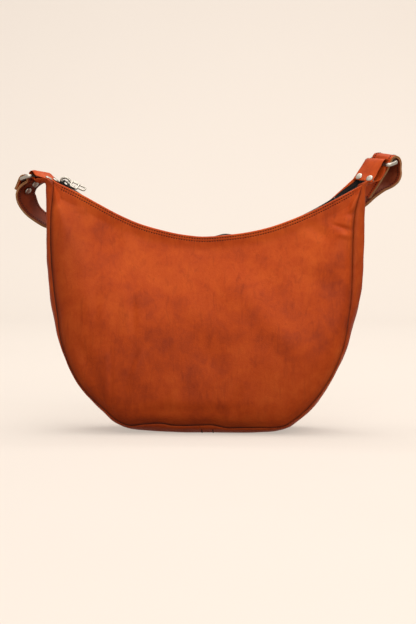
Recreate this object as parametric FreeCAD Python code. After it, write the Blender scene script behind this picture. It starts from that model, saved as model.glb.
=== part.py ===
import FreeCAD
import Part
import math
import os
from FreeCAD import Vector

# Half moon shoulder bag: two leather panels sewn to a gusset in two halves, a cloth lining, a coil zip
# that follows the curved mouth, and a short strap hung from two rings at the horns.
# Millimetres. Seen from the front, +X is to the right, -Y comes forward and +Z is up.
# The origin is the middle of the base, on the surface that the bag stands on.

# Outline of the bag, seen from the front
BAG_HALF_WIDTH = 190.0
SIDE_STRAIGHT_Z = 235.0
SIDE_ARC_RADIUS = 400.0
SIDE_ARC_SWEEP_DEG = 27.5
HORN_DROP = 3.879
GUSSET_TOP_DROP = 12.0
MOUTH_LOW_Z = 234.5
MOUTH_RADIUS = 275.0
MOUTH_INSET = 12.0
CORNER_STEP_COUNT = 4
SIDE_STEP_COUNT = 4

# Depth of the bag, seen from the side
MOUTH_HALF_GAP = 13.0
BASE_HALF_DEPTH = 48.0
HORN_HALF_DEPTH = 13.5
DEPTH_TAPER_POWER = 1.6
PANEL_BULGE = 20.0
PANEL_BULGE_POWER = 2
HEM_DEPTH = 14.0
HEM_LIMIT_SHARE = 0.4

# Leather and lining
LEATHER = 1.8
LINING = 0.6
LAYER_GAP = 0.3
SEAM_GAP = 0.6
GUSSET_CROWN = 8.0
GUSSET_FLAT_SHARE = 0.62
GUSSET_SHOULDER_SHARE = 0.9
BASE_PRESS = 0.4
LAP_OUTER = 5.0
LAP_INNER = 10.0
LAP_RAMP = 6.0
LINING_DROP = 6.5

# Coil zip, laid on a true circle of its own, which stands a little higher at the left than at the right.
# Each SHORT is how far along that circle a piece ends before the horn on its side.
ZIP_SOFTEN = 5.0
ZIP_LIFT = 0.5
ZIP_SHIFT = 5.0
TAPE = 0.6
TAPE_INNER_Y = 0.4
TAPE_SPLIT_Y = 3.2
TAPE_FLANGE = 8.0
TAPE_LEFT_SHORT = 5.4
TAPE_RIGHT_SHORT = 0.85
TAPE_FLANGE_SHORT = 14.5
COIL_OUTER_Y = 2.8
COIL_INNER_Y = 0.2
COIL_HEIGHT = 1.8
CHAIN_LEFT_SHORT = 15.2
CHAIN_RIGHT_SHORT = 30.6
STOP_LENGTH = 2.9
STOP_GAP = 1.2
TOP_STOP_SHORT = 5.7
TOP_STOP_LENGTH = 1.6
TOP_STOP_HEIGHT = 1.4
STOP_HEIGHT = 2.6
STOP_WIDTH = 1.8

# Zip slider and pull
SLIDER_REST_SHORT = 14.2
SLIDER_HALF_LENGTH = 6.5
SLIDER_WIDE_HALF = 5.6
SLIDER_TAIL_HALF = 4.5
SLIDER_PLATE = 1.2
SLIDER_GAP = 0.35
SLIDER_CORNER = 1.6
FLANGE_WIDTH = 1.2
WEDGE_HALF = 1.3
WEDGE_LENGTH = 2.4
CROWN_HALF_SPAN = 5.5
CROWN_RISE = 4.4
CROWN_BAND = 1.3
CROWN_HALF_WIDTH = 1.6
PULL_PIN_RADIUS = 0.9
PULL_PIN_RISE = 1.6
PULL_LENGTH = 27.0
PULL_REST_DEG = 5.0
PULL_THICKNESS = 1.4
PULL_NECK_HALF = 3.3
PULL_HEAD_HALF = 4.4
PULL_ARM = 1.3
PULL_NECK_SHARE = 0.26
PULL_SQUARE_SHARE = 0.48
PULL_CORNER = 1.2

# Rings, tabs and rivets at the two horns
RING_WIRE_RADIUS = 2.0
RING_SPAN = 15.0
RING_INNER_LENGTH = 35.0
RING_CORNER = 4.5
RING_DROP_DEG = 29.0
TAB_WIDTH = 30.0
TAB_CLOSE = 14.0
TAB_CLEARANCE = 0.5
TAB_RIVET_INSET = 5.2
NECK_HALF_WIDTH = 8.0
NECK_TOP_HALF_WIDTH = 4.8
NECK_LENGTH = 15.0
NECK_INSET = 0.6
RIVET_CAP_RADIUS = 4.5
RIVET_BACK_RADIUS = 3.4
RIVET_CAP = 1.0
RIVET_SHANK_RADIUS = 1.6
RIVET_CLEARANCE = 0.05
RIVET_ROUND_SHARE = 0.4
RIVET_SPACING = 17.0
CUT_OVERRUN = 1.0

# Where each tab is riveted, in from the side and above the horn, how far it reaches to the ring's bar, and
# how it is turned: heading round Z, rise, twist, and the strap's drop
LEFT_ROOT_INSET = 7.0
RIGHT_ROOT_INSET = 1.0
ROOT_RISE = 8.5
LEFT_REACH = 23.0
RIGHT_REACH = 26.0
LEFT_HEADING_DEG = 145.0
LEFT_RISE_DEG = 15.0
LEFT_TWIST_DEG = 0.0
LEFT_STRAP_DROP_DEG = 76.0
RIGHT_HEADING_DEG = 37.0
RIGHT_RISE_DEG = 45.0
RIGHT_TWIST_DEG = 13.0
RIGHT_STRAP_DROP_DEG = 108.0

# Strap: a sewn band of two layers, folded round each ring
STRAP_WIDTH = 30.0
STRAP = 3.0
STRAP_LOOP_RADIUS = 4.6
STRAP_LOOP_GAP = 0.3
STRAP_POCKET = 4.0
STRAP_CLOSE = 12.0
STRAP_PIVOT_RADIUS = 27.0
STRAP_PIVOT_GAP = 0.5
STRAP_LEAD = 7.0
STRAP_STATION_COUNT = 41
# Route of the strap behind the bag, as shares of the ring's reach on that side, the base's half depth
# and the horn height
STRAP_ROUTE_SHARES = [
    (-1.0259, 0.75, 0.892),
    (-0.9648, 0.83, 0.861),
    (-0.8840, 0.90, 0.843),
    (-0.7564, 0.94, 0.818),
    (-0.5911, 0.94, 0.784),
    (-0.3306, 0.90, 0.743),
    (0.0000, 0.85, 0.723),
    (0.3266, 0.88, 0.757),
    (0.5839, 0.94, 0.828),
    (0.7472, 0.99, 0.892),
    (0.8590, 0.98, 0.931),
    (0.9389, 0.92, 0.952),
    (0.9992, 0.82, 0.976),
]
# How the band lies at each of those places: the way from its near edge to its far edge
STRAP_LIE_SHARES = [
    (0.50, 0.85, 0.10),
    (0.35, 0.90, 0.25),
    (0.20, 0.85, 0.48),
    (0.10, 0.65, 0.75),
    (0.05, 0.35, 0.93),
    (0.00, 0.05, 1.00),
    (0.00, -0.10, 1.00),
    (0.00, 0.05, 1.00),
    (-0.05, 0.38, 0.92),
    (-0.10, 0.65, 0.75),
    (-0.20, 0.85, 0.48),
    (-0.35, 0.90, 0.25),
    (-0.50, 0.85, 0.10),
]

mouth_centre = Vector(0, 0, MOUTH_LOW_Z + MOUTH_RADIUS)
mouth_half_length = BAG_HALF_WIDTH - MOUTH_INSET
horn_z = mouth_centre.z - math.sqrt(MOUTH_RADIUS ** 2 - mouth_half_length ** 2) - HORN_DROP
gusset_top_z = horn_z - GUSSET_TOP_DROP
zip_radius = MOUTH_RADIUS + ZIP_SOFTEN
zip_centre = Vector(ZIP_SHIFT, 0, MOUTH_LOW_Z + ZIP_LIFT + zip_radius)
lining_inset = LEATHER + LAYER_GAP


def zip_deg(length):
    """The turn about the zip's centre that a length along the zip makes."""
    return math.degrees(length / zip_radius)


left_horn_deg = -math.degrees(math.asin((mouth_half_length + ZIP_SHIFT) / zip_radius))
right_horn_deg = math.degrees(math.asin((mouth_half_length - ZIP_SHIFT) / zip_radius))
tape_left_deg = left_horn_deg + zip_deg(TAPE_LEFT_SHORT)
tape_right_deg = right_horn_deg - zip_deg(TAPE_RIGHT_SHORT)
flange_left_deg = left_horn_deg + zip_deg(TAPE_FLANGE_SHORT)
flange_right_deg = right_horn_deg - zip_deg(TAPE_FLANGE_SHORT)
chain_left_deg = left_horn_deg + zip_deg(CHAIN_LEFT_SHORT)
chain_right_deg = right_horn_deg - zip_deg(CHAIN_RIGHT_SHORT)
top_stop_deg = left_horn_deg + zip_deg(TOP_STOP_SHORT)
slider_rest_deg = left_horn_deg + zip_deg(SLIDER_REST_SHORT)


class Station:
    """One place on the outline: its point, its outward normal and its share of the way to the horn."""

    def __init__(self, x, z, normal_x, normal_z):
        self.x = x
        self.z = z
        self.normal = Vector(normal_x, 0, normal_z)
        self.share = 0.0

    def at(self, y, depth):
        """The point at y, so deep inside the outline."""
        return Vector(self.x, y, self.z) - self.normal * depth

    def mirrored(self):
        twin = Station(-self.x, self.z, -self.normal.x, self.normal.z)
        twin.share = -self.share
        return twin


def outline_stations(top_z):
    """Stations up the right half of the outline: flat base, corner arc, side arc and the straight side."""
    sweep = math.radians(SIDE_ARC_SWEEP_DEG)
    corner_radius = (SIDE_STRAIGHT_Z - SIDE_ARC_RADIUS * math.sin(sweep)) / (1 - math.sin(sweep))
    side_centre_x = BAG_HALF_WIDTH - SIDE_ARC_RADIUS
    base_end = side_centre_x + (SIDE_ARC_RADIUS - corner_radius) * math.cos(sweep)
    found = [Station(0, 0, 0, -1)]
    for k in range(CORNER_STEP_COUNT + 1):
        turn = (math.pi / 2 - sweep) * k / CORNER_STEP_COUNT
        x = base_end + corner_radius * math.sin(turn)
        z = corner_radius * (1 - math.cos(turn))
        found.append(Station(x, z, math.sin(turn), -math.cos(turn)))
    for k in range(1, SIDE_STEP_COUNT + 1):
        turn = sweep * (1 - k / SIDE_STEP_COUNT)
        x = side_centre_x + SIDE_ARC_RADIUS * math.cos(turn)
        z = SIDE_STRAIGHT_Z - SIDE_ARC_RADIUS * math.sin(turn)
        found.append(Station(x, z, math.cos(turn), -math.sin(turn)))
    found.append(Station(BAG_HALF_WIDTH, (SIDE_STRAIGHT_Z + gusset_top_z) / 2, 1, 0))
    found.append(Station(BAG_HALF_WIDTH, gusset_top_z, 1, 0))
    found.append(Station(BAG_HALF_WIDTH, horn_z, 1, 0))
    run = 0.0
    for before, after in zip(found, found[1:]):
        run += (after.at(0, 0) - before.at(0, 0)).Length
        after.share = run
    for station in found:
        station.share = station.share / run
    return [s for s in found if s.z <= top_z]


def half_depth(z):
    """Half the bag's depth at the seam, full at the base and narrow at the horns."""
    return BASE_HALF_DEPTH - (BASE_HALF_DEPTH - HORN_HALF_DEPTH) * (z / horn_z) ** DEPTH_TAPER_POWER


def polyline(points):
    return Part.makePolygon(points).Edges


def curve(start, control, end):
    bezier = Part.BezierCurve()
    bezier.setPoles([start, control, end])
    return bezier.toShape()


def panel_section(station, side, inset, thickness, mouth_drop, mouth_y):
    """A closed wire across one panel, from the mouth's edge down the hem and round the bulge to the seam."""
    angle = math.asin(mouth_half_length / MOUTH_RADIUS) * station.share
    reach = MOUTH_RADIUS + mouth_drop
    mouth = mouth_centre + Vector(math.sin(angle), 0, -math.cos(angle)) * reach
    mouth.y = side * mouth_y
    seam = station.at(side * (half_depth(station.z) - inset), GUSSET_CROWN + 2 * inset)
    span = (seam - mouth).Length
    full_span = MOUTH_LOW_Z - GUSSET_CROWN
    hem = mouth + (seam - mouth) * min(HEM_DEPTH / span, HEM_LIMIT_SHARE)
    hem.y = mouth.y
    bulge = PANEL_BULGE * (span / full_span) ** PANEL_BULGE_POWER
    control = (hem + seam) * 0.5 + Vector(0, 2 * side * bulge, 0)
    inward = Vector(0, -side * thickness, 0)
    edges = polyline([mouth, hem])
    edges.append(curve(hem, control, seam))
    edges += polyline([seam, seam + inward])
    edges.append(curve(seam + inward, control + inward, hem + inward))
    edges += polyline([hem + inward, mouth + inward, mouth])
    return Part.Wire(edges)


def panel(side, top_z, inset, thickness, mouth_drop, mouth_y):
    """A whole panel from horn to horn: side is -1 for the front and 1 for the back."""
    right = outline_stations(top_z)
    stations = [s.mirrored() for s in reversed(right[1:])] + right
    wires = [panel_section(s, side, inset, thickness, mouth_drop, mouth_y) for s in stations]
    return Part.makeLoft(wires, True, True)


def gusset_section(station, inset, thickness, edge_gap, lift):
    """A closed wire across the gusset: flat in the middle, with shoulders that turn in to the two seams."""
    half = half_depth(station.z) - edge_gap
    flat = GUSSET_FLAT_SHARE * half
    shoulder = GUSSET_SHOULDER_SHARE * half
    rise = Vector(0, 0, lift)

    def layer(depth):
        return [
            station.at(-half, GUSSET_CROWN + depth) + rise,
            station.at(-shoulder, depth) + rise,
            station.at(-flat, depth) + rise,
            station.at(flat, depth) + rise,
            station.at(shoulder, depth) + rise,
            station.at(half, GUSSET_CROWN + depth) + rise,
        ]

    outer = layer(inset)
    inner = layer(inset + thickness)
    edges = [curve(outer[0], outer[1], outer[2])]
    edges += polyline([outer[2], outer[3]])
    edges.append(curve(outer[3], outer[4], outer[5]))
    edges += polyline([outer[5], inner[5]])
    edges.append(curve(inner[5], inner[4], inner[3]))
    edges += polyline([inner[3], inner[2]])
    edges.append(curve(inner[2], inner[1], inner[0]))
    edges += polyline([inner[0], outer[0]])
    return Part.Wire(edges)


def gusset(mirror, lap_runs):
    """One half of the gusset, from the lap seam under the bag up to its horn, pressed flat where it stands.
    lap_runs are the places and lifts before the plain base: the inner half climbs over the outer one."""
    edge_gap = LEATHER + SEAM_GAP
    stations = outline_stations(gusset_top_z)[1:]
    wires = []
    for x, lift in lap_runs:
        base = Station(x, 0, 0, -1)
        wires.append(gusset_section(base, 0, LEATHER, edge_gap, lift - BASE_PRESS))
    for station in stations:
        lift = -BASE_PRESS if station.z == 0 else 0
        wires.append(gusset_section(station, 0, LEATHER, edge_gap, lift))
    half = Part.makeLoft(wires, True, True)
    floor = Part.makeBox(4 * BAG_HALF_WIDTH, 4 * BASE_HALF_DEPTH, CUT_OVERRUN)
    floor.translate(Vector(-2 * BAG_HALF_WIDTH, -2 * BASE_HALF_DEPTH, -CUT_OVERRUN))
    half = half.cut(floor)
    if mirror:
        half = half.mirror(Vector(0, 0, 0), Vector(1, 0, 0))
    return half


def lining_gusset():
    """The lining's own gusset, one strip from horn to horn inside the leather one."""
    right = outline_stations(SIDE_STRAIGHT_Z)
    stations = [s.mirrored() for s in reversed(right[1:])] + right
    inset = 2 * lining_inset
    edge_gap = lining_inset + LINING + SEAM_GAP
    wires = [gusset_section(s, inset, LINING, edge_gap, 0) for s in stations]
    return Part.makeLoft(wires, True, True)


def ring_sector(corners, start_deg, end_deg):
    """Turns a flat outline, in (y, distance from the zip's centre), along the zip's circle."""
    points = [zip_centre + Vector(0, y, -reach) for y, reach in corners]
    face = Part.Face(Part.makePolygon(points + points[:1]))
    sector = face.revolve(zip_centre, Vector(0, -1, 0), end_deg - start_deg)
    sector.rotate(zip_centre, Vector(0, -1, 0), start_deg)
    return sector


def block(y_low, y_high, reach_low, reach_high):
    return [(y_low, reach_low), (y_high, reach_low), (y_high, reach_high), (y_low, reach_high)]


def zip_tape(side):
    """Half of the zip tape: a flange sewn down the inside of the hem, and a web that runs to the coil.
    Left of the chain's end the web stops short, because the slider's wedge holds the halves apart there."""
    outer = side * (MOUTH_HALF_GAP - LEATHER - LAYER_GAP / 2)
    flange_inner = outer - side * TAPE
    top = zip_radius - TAPE / 2
    bottom = zip_radius + TAPE / 2
    split = side * TAPE_SPLIT_Y
    web = ring_sector(block(outer, split, top, bottom), tape_left_deg, tape_right_deg)
    tongue = ring_sector(block(split, side * TAPE_INNER_Y, top, bottom), chain_left_deg, flange_right_deg)
    flange = ring_sector(
        block(outer, flange_inner, bottom, bottom + TAPE_FLANGE), flange_left_deg, flange_right_deg
    )
    return web.fuse([tongue, flange]).removeSplitter()


def zip_coil(side):
    """One row of the nylon coil, as the plain strip that its loops fill."""
    high = zip_radius - TAPE / 2
    outline = block(side * COIL_INNER_Y, side * COIL_OUTER_Y, high - COIL_HEIGHT, high)
    return ring_sector(outline, chain_left_deg, chain_right_deg)


def zip_stop(y_low, y_high, height, start_deg, length):
    high = zip_radius - TAPE / 2
    return ring_sector(block(y_low, y_high, high - height, high), start_deg, start_deg + zip_deg(length))


def zip_top_stops():
    """Two crimped stops, one on each half of the tape, beyond the closed slider."""
    stops = []
    for side in (-1, 1):
        near, far = side * TAPE_SPLIT_Y, side * (TAPE_SPLIT_Y + STOP_WIDTH)
        stops.append(zip_stop(near, far, TOP_STOP_HEIGHT, top_stop_deg, TOP_STOP_LENGTH))
    return Part.makeCompound(stops)


def zip_bottom_stop():
    """One stop across both rows, at the end of the chain."""
    start_deg = chain_right_deg + zip_deg(STOP_GAP)
    return zip_stop(-COIL_OUTER_Y, COIL_OUTER_Y, STOP_HEIGHT, start_deg, STOP_LENGTH)


slider_base = zip_centre - Vector(0, 0, zip_radius)
plate_low = TAPE / 2 + SLIDER_GAP
plate_high = TAPE / 2 + COIL_HEIGHT + SLIDER_GAP
crown_seat = plate_high + SLIDER_PLATE


def to_slider_rest(shape):
    """Carries a shape from the lowest point of the zip's circle to the slider's closed place."""
    shape.translate(slider_base)
    shape.rotate(zip_centre, Vector(0, -1, 0), slider_rest_deg)
    return shape


def slider_plan(low_z, thickness):
    """The slider's plan, wide where the tape halves part and narrow at the tail, drawn up from low_z."""
    outline = [
        Vector(-SLIDER_HALF_LENGTH, -SLIDER_WIDE_HALF, low_z),
        Vector(0, -SLIDER_WIDE_HALF, low_z),
        Vector(SLIDER_HALF_LENGTH, -SLIDER_TAIL_HALF, low_z),
        Vector(SLIDER_HALF_LENGTH, SLIDER_TAIL_HALF, low_z),
        Vector(0, SLIDER_WIDE_HALF, low_z),
        Vector(-SLIDER_HALF_LENGTH, SLIDER_WIDE_HALF, low_z),
    ]
    plan = Part.Face(Part.makePolygon(outline + outline[:1])).extrude(Vector(0, 0, thickness))
    upright = [e for e in plan.Edges if e.BoundBox.ZLength > thickness / 2]
    ends = [e for e in upright if abs(e.CenterOfMass.x) > SLIDER_HALF_LENGTH / 2]
    return plan.makeFillet(SLIDER_CORNER, ends)


def zip_slider():
    """The die-cast slider: two plates joined by the wedge, with rails that turn down beside the coil."""
    floor = -plate_low - SLIDER_PLATE
    body = slider_plan(plate_high, SLIDER_PLATE)
    lower = slider_plan(floor, SLIDER_PLATE)
    wedge = Part.makeBox(WEDGE_LENGTH, 2 * WEDGE_HALF, crown_seat - floor)
    wedge.translate(Vector(-SLIDER_HALF_LENGTH, -WEDGE_HALF, floor))
    column = slider_plan(plate_low, crown_seat - plate_low)
    rails = []
    for low_y in (-SLIDER_TAIL_HALF, SLIDER_TAIL_HALF - FLANGE_WIDTH):
        rail = Part.makeBox(SLIDER_HALF_LENGTH, FLANGE_WIDTH, crown_seat - plate_low)
        rail.translate(Vector(0, low_y, plate_low))
        rails.append(rail.common(column))
    return to_slider_rest(body.fuse([lower, wedge] + rails).removeSplitter())


def zip_crown():
    """The arched bridge on the slider's top plate, which the pull's pin runs under."""
    inner_half = CROWN_HALF_SPAN - CROWN_BAND
    outer = Part.Arc(
        Vector(-CROWN_HALF_SPAN, -CROWN_HALF_WIDTH, crown_seat),
        Vector(0, -CROWN_HALF_WIDTH, crown_seat + CROWN_RISE),
        Vector(CROWN_HALF_SPAN, -CROWN_HALF_WIDTH, crown_seat),
    ).toShape()
    inner = Part.Arc(
        Vector(inner_half, -CROWN_HALF_WIDTH, crown_seat),
        Vector(0, -CROWN_HALF_WIDTH, crown_seat + CROWN_RISE - CROWN_BAND),
        Vector(-inner_half, -CROWN_HALF_WIDTH, crown_seat),
    ).toShape()
    feet_right = polyline([outer.Vertexes[-1].Point, inner.Vertexes[0].Point])
    feet_left = polyline([inner.Vertexes[-1].Point, outer.Vertexes[0].Point])
    face = Part.Face(Part.Wire([outer] + feet_right + [inner] + feet_left))
    return to_slider_rest(face.extrude(Vector(0, 2 * CROWN_HALF_WIDTH, 0)))


def rounded_plate(x_low, x_high, half_width, thickness, corner):
    plate = Part.makeBox(x_high - x_low, 2 * half_width, thickness)
    plate.translate(Vector(x_low, -half_width, -thickness / 2))
    upright = [e for e in plate.Edges if e.BoundBox.ZLength > thickness / 2]
    return plate.makeFillet(corner, upright)


def zip_pull():
    """The open pull: a pin under the crown, two arms, a square window and a long loop."""
    square_start = PULL_LENGTH * PULL_NECK_SHARE
    loop_start = PULL_LENGTH * PULL_SQUARE_SHARE
    inner = PULL_NECK_HALF - PULL_ARM
    thick = PULL_THICKNESS
    through = 2 * PULL_THICKNESS
    round_end = PULL_ARM / 2
    neck = rounded_plate(-PULL_PIN_RADIUS, square_start + PULL_CORNER, PULL_NECK_HALF, thick, round_end)
    head = rounded_plate(square_start, loop_start, PULL_HEAD_HALF, thick, PULL_CORNER)
    loop = rounded_plate(loop_start - PULL_CORNER, PULL_LENGTH, PULL_NECK_HALF, thick, inner)
    windows = [
        rounded_plate(PULL_PIN_RADIUS, square_start - round_end, inner, through, round_end),
        rounded_plate(square_start + PULL_ARM, loop_start - PULL_ARM, inner, through, round_end),
        rounded_plate(loop_start + PULL_ARM, PULL_LENGTH - PULL_ARM, inner, through, PULL_ARM),
    ]
    pin_start = Vector(0, -PULL_NECK_HALF, 0)
    pin = Part.makeCylinder(PULL_PIN_RADIUS, 2 * PULL_NECK_HALF, pin_start, Vector(0, 1, 0))
    pull = neck.fuse([head, loop]).cut(windows[0].fuse(windows[1:])).fuse(pin).removeSplitter()
    pull.rotate(Vector(0, 0, 0), Vector(0, -1, 0), PULL_REST_DEG)
    pull.translate(Vector(0, 0, crown_seat + PULL_PIN_RISE))
    return to_slider_rest(pull)


class HornEnd:
    """The frame of one horn's tab: along runs from the rivets to the ring, across lies on the ring's bars."""

    def __init__(self, root, reach, heading_deg, rise_deg, twist_deg, strap_drop_deg):
        heading = math.radians(heading_deg)
        rise = math.radians(rise_deg)
        self.root = root
        self.reach = reach
        self.along = Vector(math.cos(heading), math.sin(heading), math.tan(rise)).normalize()
        level = Vector(math.sin(heading), -math.cos(heading), 0)
        self.across = FreeCAD.Rotation(self.along, twist_deg).multVec(level)
        self.up = self.across.cross(self.along)
        self.tab_bar = root + self.along * reach
        self.ring_way = self.turned(-RING_DROP_DEG)
        self.strap_bar = self.tab_bar + self.ring_way * RING_SPAN
        self.strap_way = self.turned(-strap_drop_deg)
        self.strap_out = self.across.cross(self.strap_way)
        slack = STRAP_LOOP_RADIUS - RING_WIRE_RADIUS - STRAP_LOOP_GAP
        self.loop_centre = self.strap_bar + self.strap_way * slack

    def turned(self, degrees):
        return FreeCAD.Rotation(self.across, degrees).multVec(self.along)


def folded_loop(centre, leg_way, leg_out, across, width, inner_radius, thickness, pocket, close, reach):
    """A band folded round a bar: an open pocket round it, then the two legs pressed together."""
    outer_radius = inner_radius + thickness

    def at(leg, out):
        return centre + leg_way * leg + leg_out * out - across * (width / 2)

    def round_end(radius, legs):
        """The outline of one side of the band: round the bar, then along the given leg points and back."""
        points = [at(leg, -out) for leg, out in legs] + [at(leg, out) for leg, out in reversed(legs)]
        bend = Part.Arc(at(0, radius), at(-radius, 0), at(0, -radius)).toShape()
        walk = [at(0, -radius)] + points + [at(0, radius)]
        edges = [Part.makeLine(a, b) for a, b in zip(walk, walk[1:]) if not a.isEqual(b, LAYER_GAP / 2)]
        return Part.Face(Part.Wire([bend] + edges)).extrude(across * width)

    outer_legs = [(pocket, outer_radius), (close, thickness), (reach, thickness)]
    band = round_end(outer_radius, outer_legs)
    return band.cut(round_end(inner_radius, [(pocket, inner_radius), (close, 0)]))


def rivet_places(centre, across):
    return [centre - across * (RIVET_SPACING / 2), centre + across * (RIVET_SPACING / 2)]


def rivet_holes(places, way, thickness):
    radius = RIVET_SHANK_RADIUS + RIVET_CLEARANCE
    start = way * (-thickness - CUT_OVERRUN)
    holes = [Part.makeCylinder(radius, 2 * (thickness + CUT_OVERRUN), p + start, way) for p in places]
    return holes[0].fuse(holes[1:])


def rivets(places, way, thickness):
    """Double-cap rivets through two layers: a domed cap on each side of one shank."""
    made = []
    for place in places:
        half = thickness + RIVET_CAP
        shank = Part.makeCylinder(RIVET_SHANK_RADIUS, 2 * half, place - way * half, way)
        caps = []
        for side, radius in ((-1, RIVET_BACK_RADIUS), (1, RIVET_CAP_RADIUS)):
            face = place + way * (side * (thickness + RIVET_CLEARANCE))
            cap = Part.makeCylinder(radius, RIVET_CAP, face, way * side)
            rims = [e for e in cap.Edges if e.Closed and (e.CenterOfMass - face).Length > RIVET_CAP / 2]
            caps.append(cap.makeFillet(RIVET_CAP * RIVET_ROUND_SHARE, rims))
        made.append(shank.fuse(caps))
    return Part.makeCompound(made)


def horn_tab(end, side):
    """The tab: folded round the ring's bar and riveted, with a neck that turns down into the gusset's end."""
    loop = folded_loop(
        end.tab_bar, end.along * -1, end.up, end.across, TAB_WIDTH,
        RING_WIRE_RADIUS + TAB_CLEARANCE, LEATHER, 0, TAB_CLOSE, end.reach + TAB_RIVET_INSET,
    )
    loop = loop.cut(rivet_holes(rivet_places(end.root, end.across), end.up, LEATHER))
    inner_x = BAG_HALF_WIDTH - LEATHER - LAYER_GAP

    def level(z):
        x = side * inner_x
        back = side * (inner_x - LEATHER)
        points = [
            Vector(x, -NECK_HALF_WIDTH, z), Vector(x, NECK_HALF_WIDTH, z),
            Vector(back, NECK_HALF_WIDTH, z), Vector(back, -NECK_HALF_WIDTH, z),
        ]
        return Part.makePolygon(points + points[:1])

    foot = end.root - end.along * (TAB_RIVET_INSET - LEATHER - NECK_INSET)
    forward = end.across if end.across.y < 0 else end.across * -1
    top = [
        foot + forward * NECK_TOP_HALF_WIDTH, foot - forward * NECK_TOP_HALF_WIDTH,
        foot - forward * NECK_TOP_HALF_WIDTH - end.along * LEATHER,
        foot + forward * NECK_TOP_HALF_WIDTH - end.along * LEATHER,
    ]
    levels = [level(gusset_top_z - NECK_LENGTH), level(gusset_top_z), Part.makePolygon(top + top[:1])]
    return loop.fuse(Part.makeLoft(levels, True, True)).removeSplitter()


def ring(end):
    """A rectangular wire ring with round corners: one bar in the tab, the other in the strap's loop."""
    half_length = RING_INNER_LENGTH / 2 + RING_WIRE_RADIUS
    half_span = RING_SPAN / 2
    centre = end.tab_bar + end.ring_way * half_span
    diagonal = RING_CORNER * (1 - math.sqrt(0.5))

    def at(a, b):
        return centre + end.across * a + end.ring_way * b

    edges = []
    turns = [(1, 1), (-1, 1), (-1, -1), (1, -1)]
    for (a, b), (next_a, next_b) in zip(turns, turns[1:] + turns[:1]):
        corner_in = at(a * half_length, b * (half_span - RING_CORNER))
        corner_mid = at(a * (half_length - diagonal), b * (half_span - diagonal))
        corner_out = at(a * (half_length - RING_CORNER), b * half_span)
        if a * b < 0:
            corner_in, corner_out = corner_out, corner_in
        edges.append(Part.Arc(corner_in, corner_mid, corner_out).toShape())
        if next_b == b:
            edges += polyline([corner_out, at(next_a * (half_length - RING_CORNER), b * half_span)])
        else:
            edges += polyline([corner_out, at(a * half_length, next_b * (half_span - RING_CORNER))])
    path = Part.Wire(Part.__sortEdges__(edges))
    start = path.Edges[0]
    point = start.valueAt(start.FirstParameter)
    way = start.tangentAt(start.FirstParameter)
    section = Part.Wire(Part.makeCircle(RING_WIRE_RADIUS, point, way))
    return path.makePipeShell([section], True, False)


def pivot_cylinder(left, right, radius):
    """A cylinder about the line between the two strap bars, which the strap swings round."""
    way = (right.strap_bar - left.strap_bar).normalize()
    start = left.strap_bar - way * BAG_HALF_WIDTH
    return Part.makeCylinder(radius, 4 * BAG_HALF_WIDTH, start, way)


def strap_end(end, cylinder, riveted):
    """The end of the strap that stays with its ring: folded round the bar and fastened back on itself."""
    loop = folded_loop(
        end.loop_centre, end.strap_way, end.strap_out, end.across, STRAP_WIDTH,
        STRAP_LOOP_RADIUS, STRAP, STRAP_POCKET, STRAP_CLOSE, STRAP_PIVOT_RADIUS + STRAP_LEAD,
    )
    if riveted:
        loop = loop.cut(rivet_holes(strap_rivet_places(end), end.strap_out, STRAP))
    return loop.common(cylinder)


def strap_rivet_places(end):
    reach = STRAP_CLOSE + RIVET_CAP_RADIUS + LAYER_GAP
    return rivet_places(end.loop_centre + end.strap_way * reach, end.across)


def strap(left, right, cylinder):
    """The free band between the two ends, hanging behind the bag and turning upright as it goes."""
    def lead(end, reach):
        return end.loop_centre + end.strap_way * reach - end.strap_out * (STRAP / 2)

    leads = (STRAP_PIVOT_RADIUS - STRAP_LEAD, STRAP_PIVOT_RADIUS)
    route = [lead(left, reach) for reach in leads]
    widths = [left.across] * len(leads)
    for (x, y, z), lie in zip(STRAP_ROUTE_SHARES, STRAP_LIE_SHARES):
        ring_reach = -left.strap_bar.x if x < 0 else right.strap_bar.x
        route.append(Vector(x * ring_reach, y * BASE_HALF_DEPTH, z * horn_z))
        widths.append(Vector(*lie))
    route += [lead(right, reach) for reach in reversed(leads)]
    widths += [right.across * -1] * len(leads)
    line = Part.BSplineCurve()
    line.interpolate(route)
    knots = [line.parameter(p) for p in route]
    print("strap length mm:", round(line.length(), 1))
    wires = []
    for k in range(STRAP_STATION_COUNT):
        t = line.FirstParameter + (line.LastParameter - line.FirstParameter) * k / (STRAP_STATION_COUNT - 1)
        i = max(j for j in range(len(knots) - 1) if knots[j] <= t or j == 0)
        share = (t - knots[i]) / (knots[i + 1] - knots[i])
        point = line.value(t)
        way = line.tangent(t)[0]
        wide = widths[i] * (1 - share) + widths[i + 1] * share
        wide = (wide - way * wide.dot(way)).normalize() * (STRAP_WIDTH / 2)
        thick = way.cross(wide).normalize() * (STRAP / 2)
        far, near = point + wide, point - wide
        corners = [far + thick, far - thick, near - thick, near + thick]
        wires.append(Part.makePolygon(corners + corners[:1]))
    return Part.makeLoft(wires, True, True).cut(cylinder)


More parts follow.
